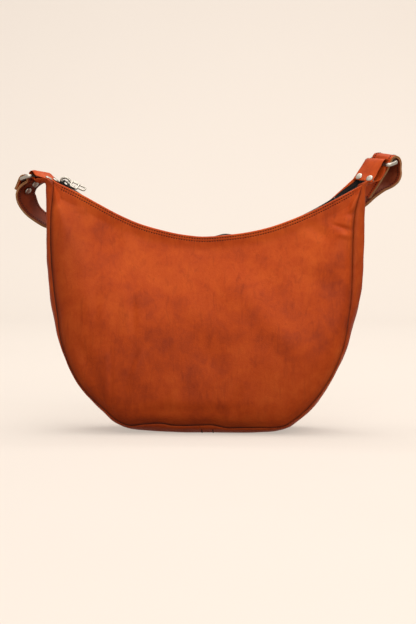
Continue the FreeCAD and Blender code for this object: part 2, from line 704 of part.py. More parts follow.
def build():
    """Every piece of the bag, by name."""
    left_root = Vector(LEFT_ROOT_INSET - BAG_HALF_WIDTH, 0, horn_z + ROOT_RISE)
    right_root = Vector(BAG_HALF_WIDTH - RIGHT_ROOT_INSET, 0, horn_z + ROOT_RISE)
    left = HornEnd(
        left_root, LEFT_REACH, LEFT_HEADING_DEG, LEFT_RISE_DEG, LEFT_TWIST_DEG, LEFT_STRAP_DROP_DEG
    )
    right = HornEnd(
        right_root, RIGHT_REACH, RIGHT_HEADING_DEG, RIGHT_RISE_DEG, RIGHT_TWIST_DEG, RIGHT_STRAP_DROP_DEG
    )
    climb = LEATHER + LAYER_GAP
    outer_lap = [(-LAP_OUTER, 0)]
    inner_lap = [(-LAP_INNER, climb), (LAP_OUTER + LAYER_GAP, climb), (LAP_OUTER + LAP_RAMP, 0)]
    lining_mouth_y = MOUTH_HALF_GAP - LEATHER - LAYER_GAP / 2 - TAPE - LAYER_GAP
    held = pivot_cylinder(left, right, STRAP_PIVOT_RADIUS)
    freed = pivot_cylinder(left, right, STRAP_PIVOT_RADIUS + STRAP_PIVOT_GAP)
    nodes = {
        "front_panel": panel(-1, horn_z, 0, LEATHER, 0, MOUTH_HALF_GAP),
        "back_panel": panel(1, horn_z, 0, LEATHER, 0, MOUTH_HALF_GAP),
        "gusset_right": gusset(False, outer_lap),
        "gusset_left": gusset(True, inner_lap),
        "front_lining": panel(-1, SIDE_STRAIGHT_Z, lining_inset, LINING, LINING_DROP, lining_mouth_y),
        "back_lining": panel(1, SIDE_STRAIGHT_Z, lining_inset, LINING, LINING_DROP, lining_mouth_y),
        "lining_gusset": lining_gusset(),
        "zip_tape_front": zip_tape(-1),
        "zip_tape_back": zip_tape(1),
        "zip_coil_front": zip_coil(-1),
        "zip_coil_back": zip_coil(1),
        "zip_top_stops": zip_top_stops(),
        "zip_bottom_stop": zip_bottom_stop(),
        "zip_slider": zip_slider(),
        "zip_crown": zip_crown(),
        "zip_pull": zip_pull(),
        "tab_left": horn_tab(left, -1),
        "tab_right": horn_tab(right, 1),
        "tab_rivets_left": rivets(rivet_places(left.root, left.across), left.up, LEATHER),
        "tab_rivets_right": rivets(rivet_places(right.root, right.across), right.up, LEATHER),
        "ring_left": ring(left),
        "ring_right": ring(right),
        "strap_end_left": strap_end(left, held, True),
        "strap_end_right": strap_end(right, held, False),
        "strap_rivets": rivets(strap_rivet_places(left), left.strap_out, STRAP),
        "strap": strap(left, right, freed),
    }
    for name, end in (("left", left), ("right", right)):
        print(name, "tab bar", end.tab_bar, "strap bar", end.strap_bar, "across", end.across)
    swing = (right.strap_bar - left.strap_bar).normalize()
    print("strap swing axis", swing)
    pin = to_slider_rest(Part.Vertex(0, 0, crown_seat + PULL_PIN_RISE)).Point
    print("zip centre", zip_centre, "slider rest", slider_rest_deg, "pull pin", pin)
    return nodes


os.makedirs("parts", exist_ok=True)
for node, shape in build().items():
    print(node, shape.isValid(), len(shape.Solids), round(shape.Volume, 1), shape.BoundBox)
    shape.exportStep(f"parts/{node}.step")
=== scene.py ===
import math
import bpy
import numpy as np
from mathutils import Matrix, Vector, noise


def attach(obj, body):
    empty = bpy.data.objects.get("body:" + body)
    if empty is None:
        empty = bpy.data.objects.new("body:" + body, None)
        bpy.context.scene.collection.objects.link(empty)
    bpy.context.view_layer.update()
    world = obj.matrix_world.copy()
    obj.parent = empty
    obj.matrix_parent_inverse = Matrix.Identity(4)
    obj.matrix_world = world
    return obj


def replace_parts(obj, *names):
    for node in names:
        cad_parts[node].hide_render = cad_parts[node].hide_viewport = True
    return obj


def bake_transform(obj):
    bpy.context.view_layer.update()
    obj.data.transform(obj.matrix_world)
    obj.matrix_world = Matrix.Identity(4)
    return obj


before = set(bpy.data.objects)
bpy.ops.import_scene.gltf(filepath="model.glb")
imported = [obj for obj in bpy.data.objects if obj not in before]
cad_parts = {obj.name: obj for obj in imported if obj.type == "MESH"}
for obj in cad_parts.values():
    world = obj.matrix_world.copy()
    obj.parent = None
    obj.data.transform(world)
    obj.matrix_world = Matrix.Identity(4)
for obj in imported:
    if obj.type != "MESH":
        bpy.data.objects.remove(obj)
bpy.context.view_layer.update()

# Gusset: the strip under the bag and up both sides, of waxed cow leather in two halves. The right one laps
# over the left one under the bag, and both are sewn inside out to the panels, so each seam is a groove
# between two lips. At a horn it goes on as the tab: round the ring's bar and back, held by two rivets.

MM = 0.001
LEATHER_MM = 1.6
BASE_HALF_DEPTH_MM = 48.0
HORN_HALF_DEPTH_MM = 13.5
HORN_Z_MM = 296.0
DEPTH_TAPER = 1.25
BACK_INSET_MM = 8.0
GUSSET_FLAT_SHARE = 0.5
GUSSET_COLUMNS = 33
# The lip at each seam, from its hidden edge: in from the strip's edge, and down. It shrinks near a horn.
GUSSET_LIPS_MM = [(4.6, 3.4), (3.0, 1.8), (1.1, 0.3)]
LIP_LEAST = 0.55
LIP_TOP_Z_MM = 299.0
LIP_LENGTH_MM = 24.0
SEAM_ALLOWANCE_MM = 3.0
SEAM_EASE_MM = 0.4
STRIP_STEP_MM = 2.6
LINE_OVERRUN_MM = 14.0
# The lap seam: where the right half begins, and where the left half steps up and where it ends
LAP_EDGE_X_MM = -5.2
LAP_CLIMB_X_MM = -3.5
LAP_UNDER_X_MM = 12.0
LAP_CLIMB_MM = 1.75
# Unevenness of the strip: how far apart its bumps lie, and how high they stand
SEAM_PUCKER_MM = (11.0, 1.1)
STRIP_WAVE_MM = (40.0, 1.3)
STRIP_DENT_MM = (17.0, 0.7)
FLAT_BASE_Z_MM = 8.0
TAB_Z_MM = 298.0
TAB_HALF_MM = 15.0
TAB_LIP = 0.1
RING_WIRE_MM = 2.1
FOLD_TURNS_DEG = (-75.0, -270.0)
FOLD_ROWS = 8
FOLD_DROOP_SHARE = 0.5
# The strip's crown line from the left horn under the bag to the right horn: x, y, z, and how far in from
# it the front panel's seam lies
CROWN_LINE_MM = [
    (-190.6, 0, 293, 9.5), (-190.6, 0, 288, 8.8), (-190.5, 0, 280, 7.7), (-190.4, 0, 268, 6.0),
    (-190.4, 0, 240, 5.2), (-189.4, 0, 208, 5.4), (-186.8, 0, 173, 6.2), (-182.0, 0, 141, 6.2),
    (-175.0, 0, 110, 3.6), (-165.5, 0, 85, 2.4), (-152.0, 0, 59, 2.6), (-136.0, 0, 39, 3.4),
    (-120.5, 0, 24, 4.6), (-106.5, 0, 11.5, 4.8), (-92.0, 0, 5.2, 4.6), (-68.0, 0, 2.0, 9.0),
    (-52.0, 0, 0.8, 11.0), (-36.0, 0, 0.2, 9.4), (-5.0, 0, 0, 9.8), (11.0, 0, 0, 10.0),
    (28.0, 0, 0, 6.8), (42.0, 0, 0, 7.0), (66.0, 0, 0.8, 6.6), (86.0, 0, 2.6, 5.2),
    (97.0, 0, 5.6, 4.2), (112.0, 0, 15.5, 3.6), (130.0, 0, 32, 3.6), (142.0, 0, 47, 3.6),
    (158.0, 0, 75, 2.8), (170.0, 0, 104, 3.6), (178.5, 0, 133, 7.0), (184.6, 0, 163, 9.6),
    (188.9, 0, 204, 12.6), (190.2, 0, 236, 13.0), (190.3, 0, 268, 10.0), (190.5, 0, 283, 6.5),
    (190.6, 0, 291, 4.6),
]


def lengths(line):
    """The length along a line up to each of its points."""
    return np.concatenate(([0.0], np.cumsum(np.linalg.norm(np.diff(line, axis=0), axis=1))))


def curve_through(points, count):
    """Even steps along a smooth curve through the points. The first three columns are its place."""
    points = np.array(points, float)
    knots = lengths(points[:, :3])
    slopes = np.gradient(points, knots, axis=0)
    fine = np.linspace(0.0, knots[-1], 60 * len(points))
    index = np.clip(np.searchsorted(knots, fine, side="right") - 1, 0, len(knots) - 2)
    gap = (knots[index + 1] - knots[index])[:, None]
    s = ((fine - knots[index]) / gap[:, 0])[:, None]
    curve = (
        (2 * s ** 3 - 3 * s ** 2 + 1) * points[index]
        + (s ** 3 - 2 * s ** 2 + s) * gap * slopes[index]
        + (3 * s ** 2 - 2 * s ** 3) * points[index + 1]
        + (s ** 3 - s ** 2) * gap * slopes[index + 1]
    )
    run = lengths(curve[:, :3])
    even = np.linspace(0.0, run[-1], count)
    return np.stack([np.interp(even, run, curve[:, k]) for k in range(curve.shape[1])], axis=1)


def unit(vectors):
    return vectors / np.linalg.norm(vectors, axis=-1, keepdims=True)


def outward(line):
    """The way out of the bag along a line in the front view, which runs from left to right under the bag."""
    way = unit(np.gradient(line[:, :3], axis=0))
    return np.stack([way[:, 2], np.zeros(len(way)), -way[:, 0]], axis=1)


def half_depth(z):
    taper = (np.clip(z, 0, None) / HORN_Z_MM) ** DEPTH_TAPER
    return BASE_HALF_DEPTH_MM - (BASE_HALF_DEPTH_MM - HORN_HALF_DEPTH_MM) * taper


def ripple(points, size_mm, seed):
    """Smooth noise from -1 to 1 at each point, with bumps about size_mm across."""
    flat = points.reshape(-1, 3) / size_mm
    values = [noise.noise(Vector((p[0] + seed, p[1] - seed, p[2] + 2 * seed))) for p in flat]
    return np.array(values).reshape(points.shape[:-1])


def mesh_piece(name, points, faces):
    """A smooth piece from its points, in metres, and its faces."""
    mesh = bpy.data.meshes.new(name)
    mesh.from_pydata(points, [], faces)
    mesh.shade_smooth()
    piece = bpy.data.objects.new(name, mesh)
    bpy.context.scene.collection.objects.link(piece)
    return piece


def grid_piece(name, grid, flip=False):
    """A piece of quads over a grid of points in mm, with UVs in metres along its rows and columns."""
    rows, columns = grid.shape[:2]
    faces = []
    for i in range(rows - 1):
        for j in range(columns - 1):
            a = i * columns + j
            face = (a, a + columns, a + columns + 1, a + 1)
            faces.append(face[::-1] if flip else face)
    piece = mesh_piece(name, (grid.reshape(-1, 3) * MM).tolist(), faces)
    mesh = piece.data
    along = np.zeros((rows, columns))
    along[1:] = np.cumsum(np.linalg.norm(np.diff(grid, axis=0), axis=2), axis=0)
    across = np.zeros((rows, columns))
    across[:, 1:] = np.cumsum(np.linalg.norm(np.diff(grid, axis=1), axis=2), axis=1)
    places = np.stack([along, across], axis=2).reshape(-1, 2) * MM
    layer = mesh.uv_layers.new(name="length_and_width")
    corners = np.zeros(len(mesh.loops), int)
    mesh.loops.foreach_get("vertex_index", corners)
    layer.data.foreach_set("uv", places[corners].ravel())
    return piece


def thicken(piece, thickness_mm, rim_slot=0):
    """Gives a sheet its thickness on the inner side, with the cut edges in another material slot if asked."""
    solid = piece.modifiers.new("thickness", "SOLIDIFY")
    solid.thickness = thickness_mm * MM
    solid.offset = -1
    solid.use_even_offset = True
    solid.thickness_clamp = 1.0
    solid.material_offset_rim = rim_slot
    settled = bpy.data.meshes.new_from_object(piece.evaluated_get(bpy.context.evaluated_depsgraph_get()))
    piece.modifiers.clear()
    old = piece.data
    piece.data = settled
    bpy.data.meshes.remove(old)
    settled.name = piece.name
    settled.shade_smooth()


def horn(root, reach, heading_deg, rise_deg, twist_deg, hang_mm, fold_mm):
    """The frame of one horn, in mm: the tab's ways, the ring's bar, and the middle of the fold round it."""
    heading = math.radians(heading_deg)
    along = Vector((math.cos(heading), math.sin(heading), math.tan(math.radians(rise_deg)))).normalized()
    level = Vector((math.sin(heading), -math.cos(heading), 0))
    across = Matrix.Rotation(math.radians(twist_deg), 3, along) @ level
    up = across.cross(along)
    bar = Vector(root) + along * reach - Vector((0, 0, hang_mm))
    middle = bar + up * (fold_mm - LEATHER_MM - RING_WIRE_MM)
    ways = {"along": along, "across": across, "up": up, "bar": bar, "middle": middle, "fold": fold_mm}
    return {key: np.array(value) for key, value in ways.items()}


def at_fold(end, leg, out):
    """A point by the tab's fold: back along the tab's leg, and out above the middle of its two legs."""
    return end["middle"] - end["along"] * leg + end["up"] * out


# Each horn: the tab's root, its reach to the bar, its heading, rise and twist in degrees, how far the ring
# hangs below its bar's place, and the radius of the fold
left_horn = horn((-183, 0, 304.5), 23.0, 145, 15, 0, 5.0, 5.0)
right_horn = horn((190, 0, 304.5), 26.0, 37, 45, 13, 2.2, 4.8)


def horn_rows(end, rise, wide, flap):
    """Rows of the strip's path past the seams: the lower leg's rows, the fold round the bar, and the flap.
    Each row holds the place, the way across from front to back, the half width, two insets and the lip."""
    rows = [(*place, *way, half, front, back, lip) for place, way, half, front, back, lip in rise]
    first_deg, last_deg = FOLD_TURNS_DEG
    for turn in np.linspace(first_deg, last_deg, FOLD_ROWS):
        a = math.radians(turn)
        place = at_fold(end, end["fold"] * math.cos(a), end["fold"] * math.sin(a))
        droop = FOLD_DROOP_SHARE * (turn - first_deg) / (last_deg - first_deg) * flap[0][3]
        rows.append((*place, *wide, TAB_HALF_MM, droop, 0, TAB_LIP))
    for leg, out, way, droop in flap:
        rows.append((*at_fold(end, leg, out), *way, TAB_HALF_MM, droop, 0, TAB_LIP))
    return rows


# Each horn's lower leg, in rows as above, and its flap: along the leg, out from it, way across, droop
left_rise = [
    ((-190.8, 0.4, 296.0), (0.10, 0.99, 0.00), 14.2, 3.4, 3.4, 0.3),
    ((-192.2, 2.4, 296.9), (0.34, 0.93, 0.02), 14.6, 3.4, 1.0, 0.1),
    ((-194.8, 6.0, 296.8), (0.48, 0.87, 0.00), 15.0, 4.4, 0.0, 0.1),
    ((-197.8, 9.6, 298.2), (0.54, 0.84, -0.02), 15.0, 3.5, 0.0, 0.1),
]
left_wide = left_horn["across"] + (0, 0, -0.12)
left_flap = [
    (6.0, 3.3, left_wide, 3.4), (13.0, 1.7, (0.48, 0.87, -0.12), 2.8), (19.0, 0.3, (0.42, 0.91, -0.13), 1.6),
    (24.5, -1.2, (0.40, 0.92, -0.12), 0.4),
]
right_rise = [
    ((191.0, 0.7, 293.4), (-0.16, 0.98, 0.04), 13.8, 3.6, 7.0, 0.2),
    ((194.4, 3.2, 296.4), (-0.44, 0.88, 0.10), 14.6, 1.6, 6.0, 0.1),
    ((198.2, 6.2, 301.2), (-0.62, 0.77, 0.16), 15.0, 0.3, 4.0, 0.1),
    ((202.2, 9.0, 308.0), (-0.68, 0.70, 0.17), 15.0, 0.0, 0.5, 0.1),
]
right_wide = -right_horn["across"]
right_flap = [
    (7.0, 4.0, (-0.70, 0.71, 0.07), 0.6), (14.0, 2.4, (-0.71, 0.70, 0.10), 0.4), (22.0, 0.8, right_wide, 0.2),
    (31.2, -0.2, right_wide, 0.0),
]
horn_paths = {
    -1: horn_rows(left_horn, left_rise, left_wide, left_flap),
    1: horn_rows(right_horn, right_rise, (-0.70, 0.71, 0.04), right_flap),
}


def strip_fall(share):
    """How far the strip has rounded off towards its seams, at a share of its half width."""
    return max(0.0, (abs(share) - GUSSET_FLAT_SHARE) / (1 - GUSSET_FLAT_SHARE)) ** 2


def painted_shade(piece, shares):
    """Stores how much painted shade darkens the leather at each point: in the seams, on the sides and low
    down.
    """
    layer = piece.data.attributes.new("painted_shade", "FLOAT", "POINT")
    layer.data.foreach_set("value", np.ascontiguousarray(shares, dtype=float).ravel())


def strip_half(name, side):
    """One half of the strip, from the lap seam under the bag to the end of its tab's flap."""
    rows = []
    for x, y, z, inset in CROWN_LINE_MM[::side]:
        if x * side > -LINE_OVERRUN_MM:
            depth = half_depth(np.array(float(z))) - SEAM_EASE_MM
            lip = min(1.0, max(LIP_LEAST, (LIP_TOP_Z_MM - z) / LIP_LENGTH_MM))
            rows.append((x, y, z, 0, 1, 0, depth, inset, BACK_INSET_MM, lip))
    control = np.array(rows + horn_paths[side], float)
    length = np.sum(np.linalg.norm(np.diff(control[:, :3], axis=0), axis=1))
    path = curve_through(control, int(length / STRIP_STEP_MM))
    edge_x = LAP_EDGE_X_MM if side > 0 else LAP_UNDER_X_MM
    keep = (path[:, 0] - edge_x) * side > 0
    path = path[keep]
    way = unit(np.gradient(path[:, :3], axis=0))
    wide = unit(path[:, 3:6] - way * np.sum(path[:, 3:6] * way, axis=1, keepdims=True))
    out = np.cross(wide, way) * side
    climb = np.zeros(len(path))
    if side < 0:
        climb = np.where(path[:, 0] > LAP_CLIMB_X_MM, LAP_CLIMB_MM, 0.0)
    half, front, back, lip = [path[:, k] for k in (6, 7, 8, 9)]
    shares = np.linspace(-1, 1, GUSSET_COLUMNS)
    turned = SEAM_ALLOWANCE_MM * np.clip((lip - 0.2) / 0.3, 0, 1)
    columns = [(-half + y * lip, front + depth * lip) for y, depth in GUSSET_LIPS_MM]
    columns[0] = (columns[0][0], columns[0][1] + turned)
    for share in shares[1:-1]:
        fall = strip_fall(share)
        columns.append((share * half, fall * (front if share < 0 else back)))
    columns += [(half - y * lip, back + depth * lip) for y, depth in reversed(GUSSET_LIPS_MM)]
    columns[-1] = (columns[-1][0], columns[-1][1] + turned)
    grid = np.stack([path[:, :3] + wide * y[:, None] - out * depth[:, None] for y, depth in columns], axis=1)
    edge = np.abs(np.linspace(-1, 1, grid.shape[1]))
    puckers = ripple(grid, SEAM_PUCKER_MM[0], 3.1) * SEAM_PUCKER_MM[1] * edge ** 4
    puckers += ripple(grid, STRIP_WAVE_MM[0], 8.7) * STRIP_WAVE_MM[1] * (1 - edge ** 2)
    puckers += ripple(grid, STRIP_DENT_MM[0], 2.2) * STRIP_DENT_MM[1] * (1 - edge ** 4)
    pressed = np.where(grid[:, :, 2] > FLAT_BASE_Z_MM, 1.0, 0.3)
    riveted = np.where(grid[:, :, 2] > TAB_Z_MM, 0.35, 1.0)
    grid = grid + out[:, None, :] * (puckers * (pressed * riveted))[:, :, None]
    grid[:, :, 2] = np.maximum(grid[:, :, 2], 0.0) + climb[:, None]
    piece = grid_piece(name, grid, flip=side > 0)
    seam_gap = np.minimum(np.arange(grid.shape[1]), np.arange(grid.shape[1])[::-1])
    # Painted shade: dark in the grooves of the seams, and in patches up the strip's sides, where they lie in
    # shade
    shaded_side_span = np.clip((grid[:, :, 2] - 30) / 60, 0, 1) * np.clip((TAB_Z_MM - grid[:, :, 2]) / 30, 0, 1)
    painted_side_shade = shaded_side_span * np.clip(0.17 + 0.16 * ripple(grid, 15.0, 5.3), 0, 0.4)
    painted_seam_shade = 0.75 * np.exp(-(seam_gap / 2.6) ** 2)[None, :] * np.clip(1.6 * lip, 0, 1)[:, None]
    painted_shade(piece, np.maximum(painted_seam_shade, painted_side_shade))
    return piece, grid


gusset_left = strip_half("gusset_left_leather", -1)[0]
gusset_right, right_strip = strip_half("gusset_right_leather", 1)


def srgb(hex_colour):
    """A linear colour from an sRGB hex value."""
    parts = [int(hex_colour[k:k + 2], 16) / 255 for k in (1, 3, 5)]
    return [p / 12.92 if p <= 0.04045 else ((p + 0.055) / 1.055) ** 2.4 for p in parts] + [1.0]


def add_node(tree, kind, inputs, **settings):
    """Adds a node, sets its settings, and links or sets its inputs."""
    made = tree.nodes.new(kind)
    for name, value in settings.items():
        setattr(made, name, value)
    for socket, value in inputs.items():
        if isinstance(value, bpy.types.NodeSocket):
            tree.links.new(value, made.inputs[socket])
        else:
            made.inputs[socket].default_value = value
    return made


def new_material(name):
    """A new material, with its node tree and its shader."""
    material = bpy.data.materials.new(name)
    material.use_nodes = True
    return material, material.node_tree, material.node_tree.nodes["Principled BSDF"]


def waxed_leather(name, dark, mid, light, rough):
    """Waxed pull-up cow leather, drum dyed: cloudy light and dark patches, fine pores and short creases, and
    a soft satin shine that varies with the wax. The pores are drawn at about twice their real 0.6 mm."""
    material, tree, shader = new_material(name)
    place = add_node(tree, "ShaderNodeTexCoord", {}).outputs["Object"]
    clouds = add_node(tree, "ShaderNodeTexNoise", {
        "Vector": place, "Scale": 1 / (95 * MM), "Detail": 3.0, "Roughness": 0.5, "Distortion": 0.8,
    })
    mottle = add_node(tree, "ShaderNodeTexNoise", {
        "Vector": place, "Scale": 1 / (24 * MM), "Detail": 5.0, "Roughness": 0.6, "Distortion": 0.4,
    })
    pores = add_node(tree, "ShaderNodeTexVoronoi", {"Vector": place, "Scale": 1 / (1.3 * MM)})
    creases = add_node(tree, "ShaderNodeTexNoise", {
        "Vector": place, "Scale": 1 / (5 * MM), "Detail": 6.0, "Roughness": 0.65, "Distortion": 1.5,
    })
    stretched = add_node(tree, "ShaderNodeMapping", {"Vector": place, "Scale": (1.0, 1.0, 0.4)})
    scuffs = add_node(tree, "ShaderNodeTexNoise", {
        "Vector": stretched.outputs["Vector"], "Scale": 1 / (7 * MM), "Detail": 4.0, "Roughness": 0.7,
        "Distortion": 1.2,
    })
    marked = add_node(tree, "ShaderNodeMix", {
        "Factor": 0.3, "A": mottle.outputs["Fac"], "B": scuffs.outputs["Fac"],
    }, data_type="FLOAT")
    both = add_node(tree, "ShaderNodeMix", {
        "Factor": 0.55, "A": clouds.outputs["Fac"], "B": marked.outputs["Result"],
    }, data_type="FLOAT")
    ramp = add_node(tree, "ShaderNodeValToRGB", {"Fac": both.outputs["Result"]})
    ramp.color_ramp.elements[0].position = 0.36
    ramp.color_ramp.elements[0].color = srgb(dark)
    ramp.color_ramp.elements[1].position = 0.63
    ramp.color_ramp.elements[1].color = srgb(light)
    middle = ramp.color_ramp.elements.new(0.49)
    middle.color = srgb(mid)
    drawn = add_node(tree, "ShaderNodeMapping", {
        "Vector": place, "Rotation": (0.0, math.radians(-52), 0.0), "Scale": (1.0, 1.0, 0.18),
    })
    streaks = add_node(tree, "ShaderNodeTexNoise", {
        "Vector": drawn.outputs["Vector"], "Scale": 1 / (7 * MM), "Detail": 4.0, "Roughness": 0.6,
        "Distortion": 0.7,
    })
    wrinkle = add_node(tree, "ShaderNodeMapRange", {
        "Value": streaks.outputs["Fac"], "From Min": 0.46, "From Max": 0.28, "To Min": 0.0, "To Max": 0.24,
    })
    lined = add_node(tree, "ShaderNodeMix", {
        "Factor": wrinkle.outputs["Result"], "A": ramp.outputs["Color"], "B": srgb("#6a1f08"),
    }, data_type="RGBA")
    # Painted shade: the stored attribute darkens the colour towards deep brown in seam grooves, on shaded
    # sides and low down
    seams = add_node(tree, "ShaderNodeAttribute", {}, attribute_name="painted_shade")
    tint = add_node(tree, "ShaderNodeMix", {
        "Factor": seams.outputs["Fac"], "A": lined.outputs["Result"], "B": srgb("#3c1005"),
    }, data_type="RGBA")
    tree.links.new(tint.outputs["Result"], shader.inputs["Base Color"])
    wax = add_node(tree, "ShaderNodeMapRange", {
        "Value": mottle.outputs["Fac"], "From Min": 0.3, "From Max": 0.7,
        "To Min": rough - 0.06, "To Max": rough + 0.08,
    })
    tree.links.new(wax.outputs["Result"], shader.inputs["Roughness"])
    fine = add_node(tree, "ShaderNodeBump", {
        "Height": pores.outputs["Distance"], "Strength": 0.18, "Distance": 0.25 * MM,
    })
    grain = add_node(tree, "ShaderNodeBump", {
        "Height": creases.outputs["Fac"], "Strength": 0.45, "Distance": 0.6 * MM,
        "Normal": fine.outputs["Normal"],
    })
    tree.links.new(grain.outputs["Normal"], shader.inputs["Normal"])
    shader.inputs["IOR"].default_value = 1.5
    shader.inputs["Specular IOR Level"].default_value = 0.12
    return material


def raw_leather_edge(name, pale, deep):
    """The cut edge of the leather: undyed tan fibres with no finish, dull and slightly streaked."""
    material, tree, shader = new_material(name)
    place = add_node(tree, "ShaderNodeTexCoord", {}).outputs["Object"]
    fibres = add_node(tree, "ShaderNodeTexNoise", {"Vector": place, "Scale": 1 / (1.5 * MM), "Detail": 4.0})
    ramp = add_node(tree, "ShaderNodeValToRGB", {"Fac": fibres.outputs["Fac"]})
    ramp.color_ramp.elements[0].color = srgb(deep)
    ramp.color_ramp.elements[1].color = srgb(pale)
    tree.links.new(ramp.outputs["Color"], shader.inputs["Base Color"])
    bump = add_node(tree, "ShaderNodeBump", {
        "Height": fibres.outputs["Fac"], "Strength": 0.4, "Distance": 0.3 * MM,
    })
    tree.links.new(bump.outputs["Normal"], shader.inputs["Normal"])
    shader.inputs["Roughness"].default_value = 0.85
    return material


cognac = waxed_leather("cognac waxed cow leather", "#9d3811", "#bb4815", "#cd581f", 0.55)
dyed_edge = raw_leather_edge("dyed leather edge", "#8a4420", "#5a2410")
for half, side in ((gusset_left, "left"), (gusset_right, "right")):
    half.data.materials.append(cognac)
    half.data.materials.append(dyed_edge)
    thicken(half, LEATHER_MM, 1)
    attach(half, "bag")
    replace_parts(half, "gusset_" + side, "tab_" + side)

# Front and back panels: each one piece of the same leather, with a folded hem along the curved mouth and a
# turned seam round the other three sides. Soft leather: the panel sags into a belly and keeps shallow folds.

HEM_FOLD_MM = 1.7
HEM_FLAT_MM = 14.0
PANEL_BULGE_MM = 16.0
ROLL_MM = 6.0
ROLL_REACH_MM = 17.0
FULL_SPAN_MM = 226.5
BASE_TUCK = 1.9
PANEL_COLUMNS = 301
PANEL_LEATHER_MM = 1.2
PANEL_LIP_MM = 4.0
PANEL_LIP_REACH_MM = 24.0
# The lip's rows past the face: in from the seam, and inside the face
LIP_ROWS_MM = ((2.6, 0.2), (1.2, 1.0), (1.5, 2.6), (3.2, 4.4))
HEM_SHARE = 0.4
INNER_HEM_ROWS_MM = (9.0, 5.0, 2.0)
FURROW_DEPTH_MM = 0.45
FURROW_HALF_MM = 0.55
# Unevenness of the panels: how far apart the bumps lie, and how high they stand
SEAM_RIPPLE_MM = (9.5, 0.9)
BROAD_WAVE_MM = (75.0, 2.2)
SMALL_WAVE_MM = (30.0, 0.7)
BELLY_ROWS = 64
# The line that each hem is folded on, from the left horn to the right one
FRONT_MOUTH_MM = [
    (-181.0, -13, 297.5), (-165, -13, 290.1), (-146, -13, 280.6), (-127, -13, 270.2), (-103, -13, 257.4),
    (-79, -13, 247.0), (-55, -13, 239.8), (-30, -13, 234.2), (-17, -13, 232.4), (-4, -13, 231.3),
    (8, -13, 231.6), (20, -13, 232.6), (31, -13, 233.8), (42, -13, 235.1), (53, -13, 236.9),
    (77, -13, 242.5), (101, -13, 250.8), (125, -13, 260.8), (150, -13, 273.2), (172, -13, 285.0),
    (186, -13, 292.6),
]
BACK_MOUTH_MM = [
    (-179, 13, 295), (-164, 13, 284.5), (-146, 13, 273.0), (-124, 13, 260.0), (-100, 13, 249.2),
    (-75, 13, 240.4), (-50, 13, 234.4), (-25, 13, 231.0), (0, 13, 229.6), (30, 13, 231.4),
    (60, 13, 236.6), (90, 13, 245.4), (118, 13, 256.6), (143, 13, 270.0), (151, 13, 277.2),
    (160, 13, 285.2), (168, 13, 292.4), (174, 13, 298.0), (179.5, 13, 302.6),
]
# Folds in the front panel: from x, z to x, z, then width and height, with a crease below zero
FRONT_FOLDS_MM = [
    (-109, 98, -109, 26, 2.6, -0.9), (-113, 92, -113, 34, 5, 0.8), (-78, 98, -94, 52, 3.6, -0.9),
    (-72, 96, -86, 58, 6, 0.9), (-84, 162, -83, 120, 5, -1.0), (-125, 166, -129, 130, 6, -1.1),
    (176, 240, 152, 247, 2.4, -1.6), (176, 233, 158, 236, 3, 1.2), (180, 262, 168, 258, 3, -1.8),
    (146, 231, 122, 246, 7, -1.2), (-153, 267, -141, 262, 3.5, 0.7), (-97, 248, -90, 215, 8, 0.9),
    (-86, 29, 50, 29, 5, -0.5), (-90, 40, 55, 38, 9, 0.5), (30, 20, 42, 52, 6, -1.3),
    (-43, 20, -40, 44, 5, -0.9), (60, 150, 120, 90, 16, 1.4), (20, 190, 70, 150, 18, 1.2),
    (-150, 190, -120, 120, 15, 1.2), (110, 190, 160, 170, 14, -1.2), (-20, 120, 20, 70, 18, -1.2),
    (-150, 110, -128, 62, 9, -1.0),
]
HEM_ROWS_MM = [0.3, 0.7, 1.1, 1.5, 1.9, 2.4, 2.9, 3.4, 3.85, 4.25, 4.65, 5.1, 5.6, 6.1, 6.8, 7.6, 8.6, 10.0]
STITCH_ROWS_MM = (1.1, 4.25)
FOLD_DEPTH = 1.6


def fold_heights(x, z, folds):
    """The height of all the folds at each point of the front view, each a soft ridge along its line."""
    total = np.zeros_like(x)
    for x0, z0, x1, z1, width, height in folds:
        dx, dz = x1 - x0, z1 - z0
        t = np.clip(((x - x0) * dx + (z - z0) * dz) / (dx * dx + dz * dz), 0, 1)
        gap = (x - x0 - t * dx) ** 2 + (z - z0 - t * dz) ** 2
        total += FOLD_DEPTH * height * np.exp(-gap / width ** 2) * np.sin(np.pi * (0.12 + 0.76 * t))
    return total


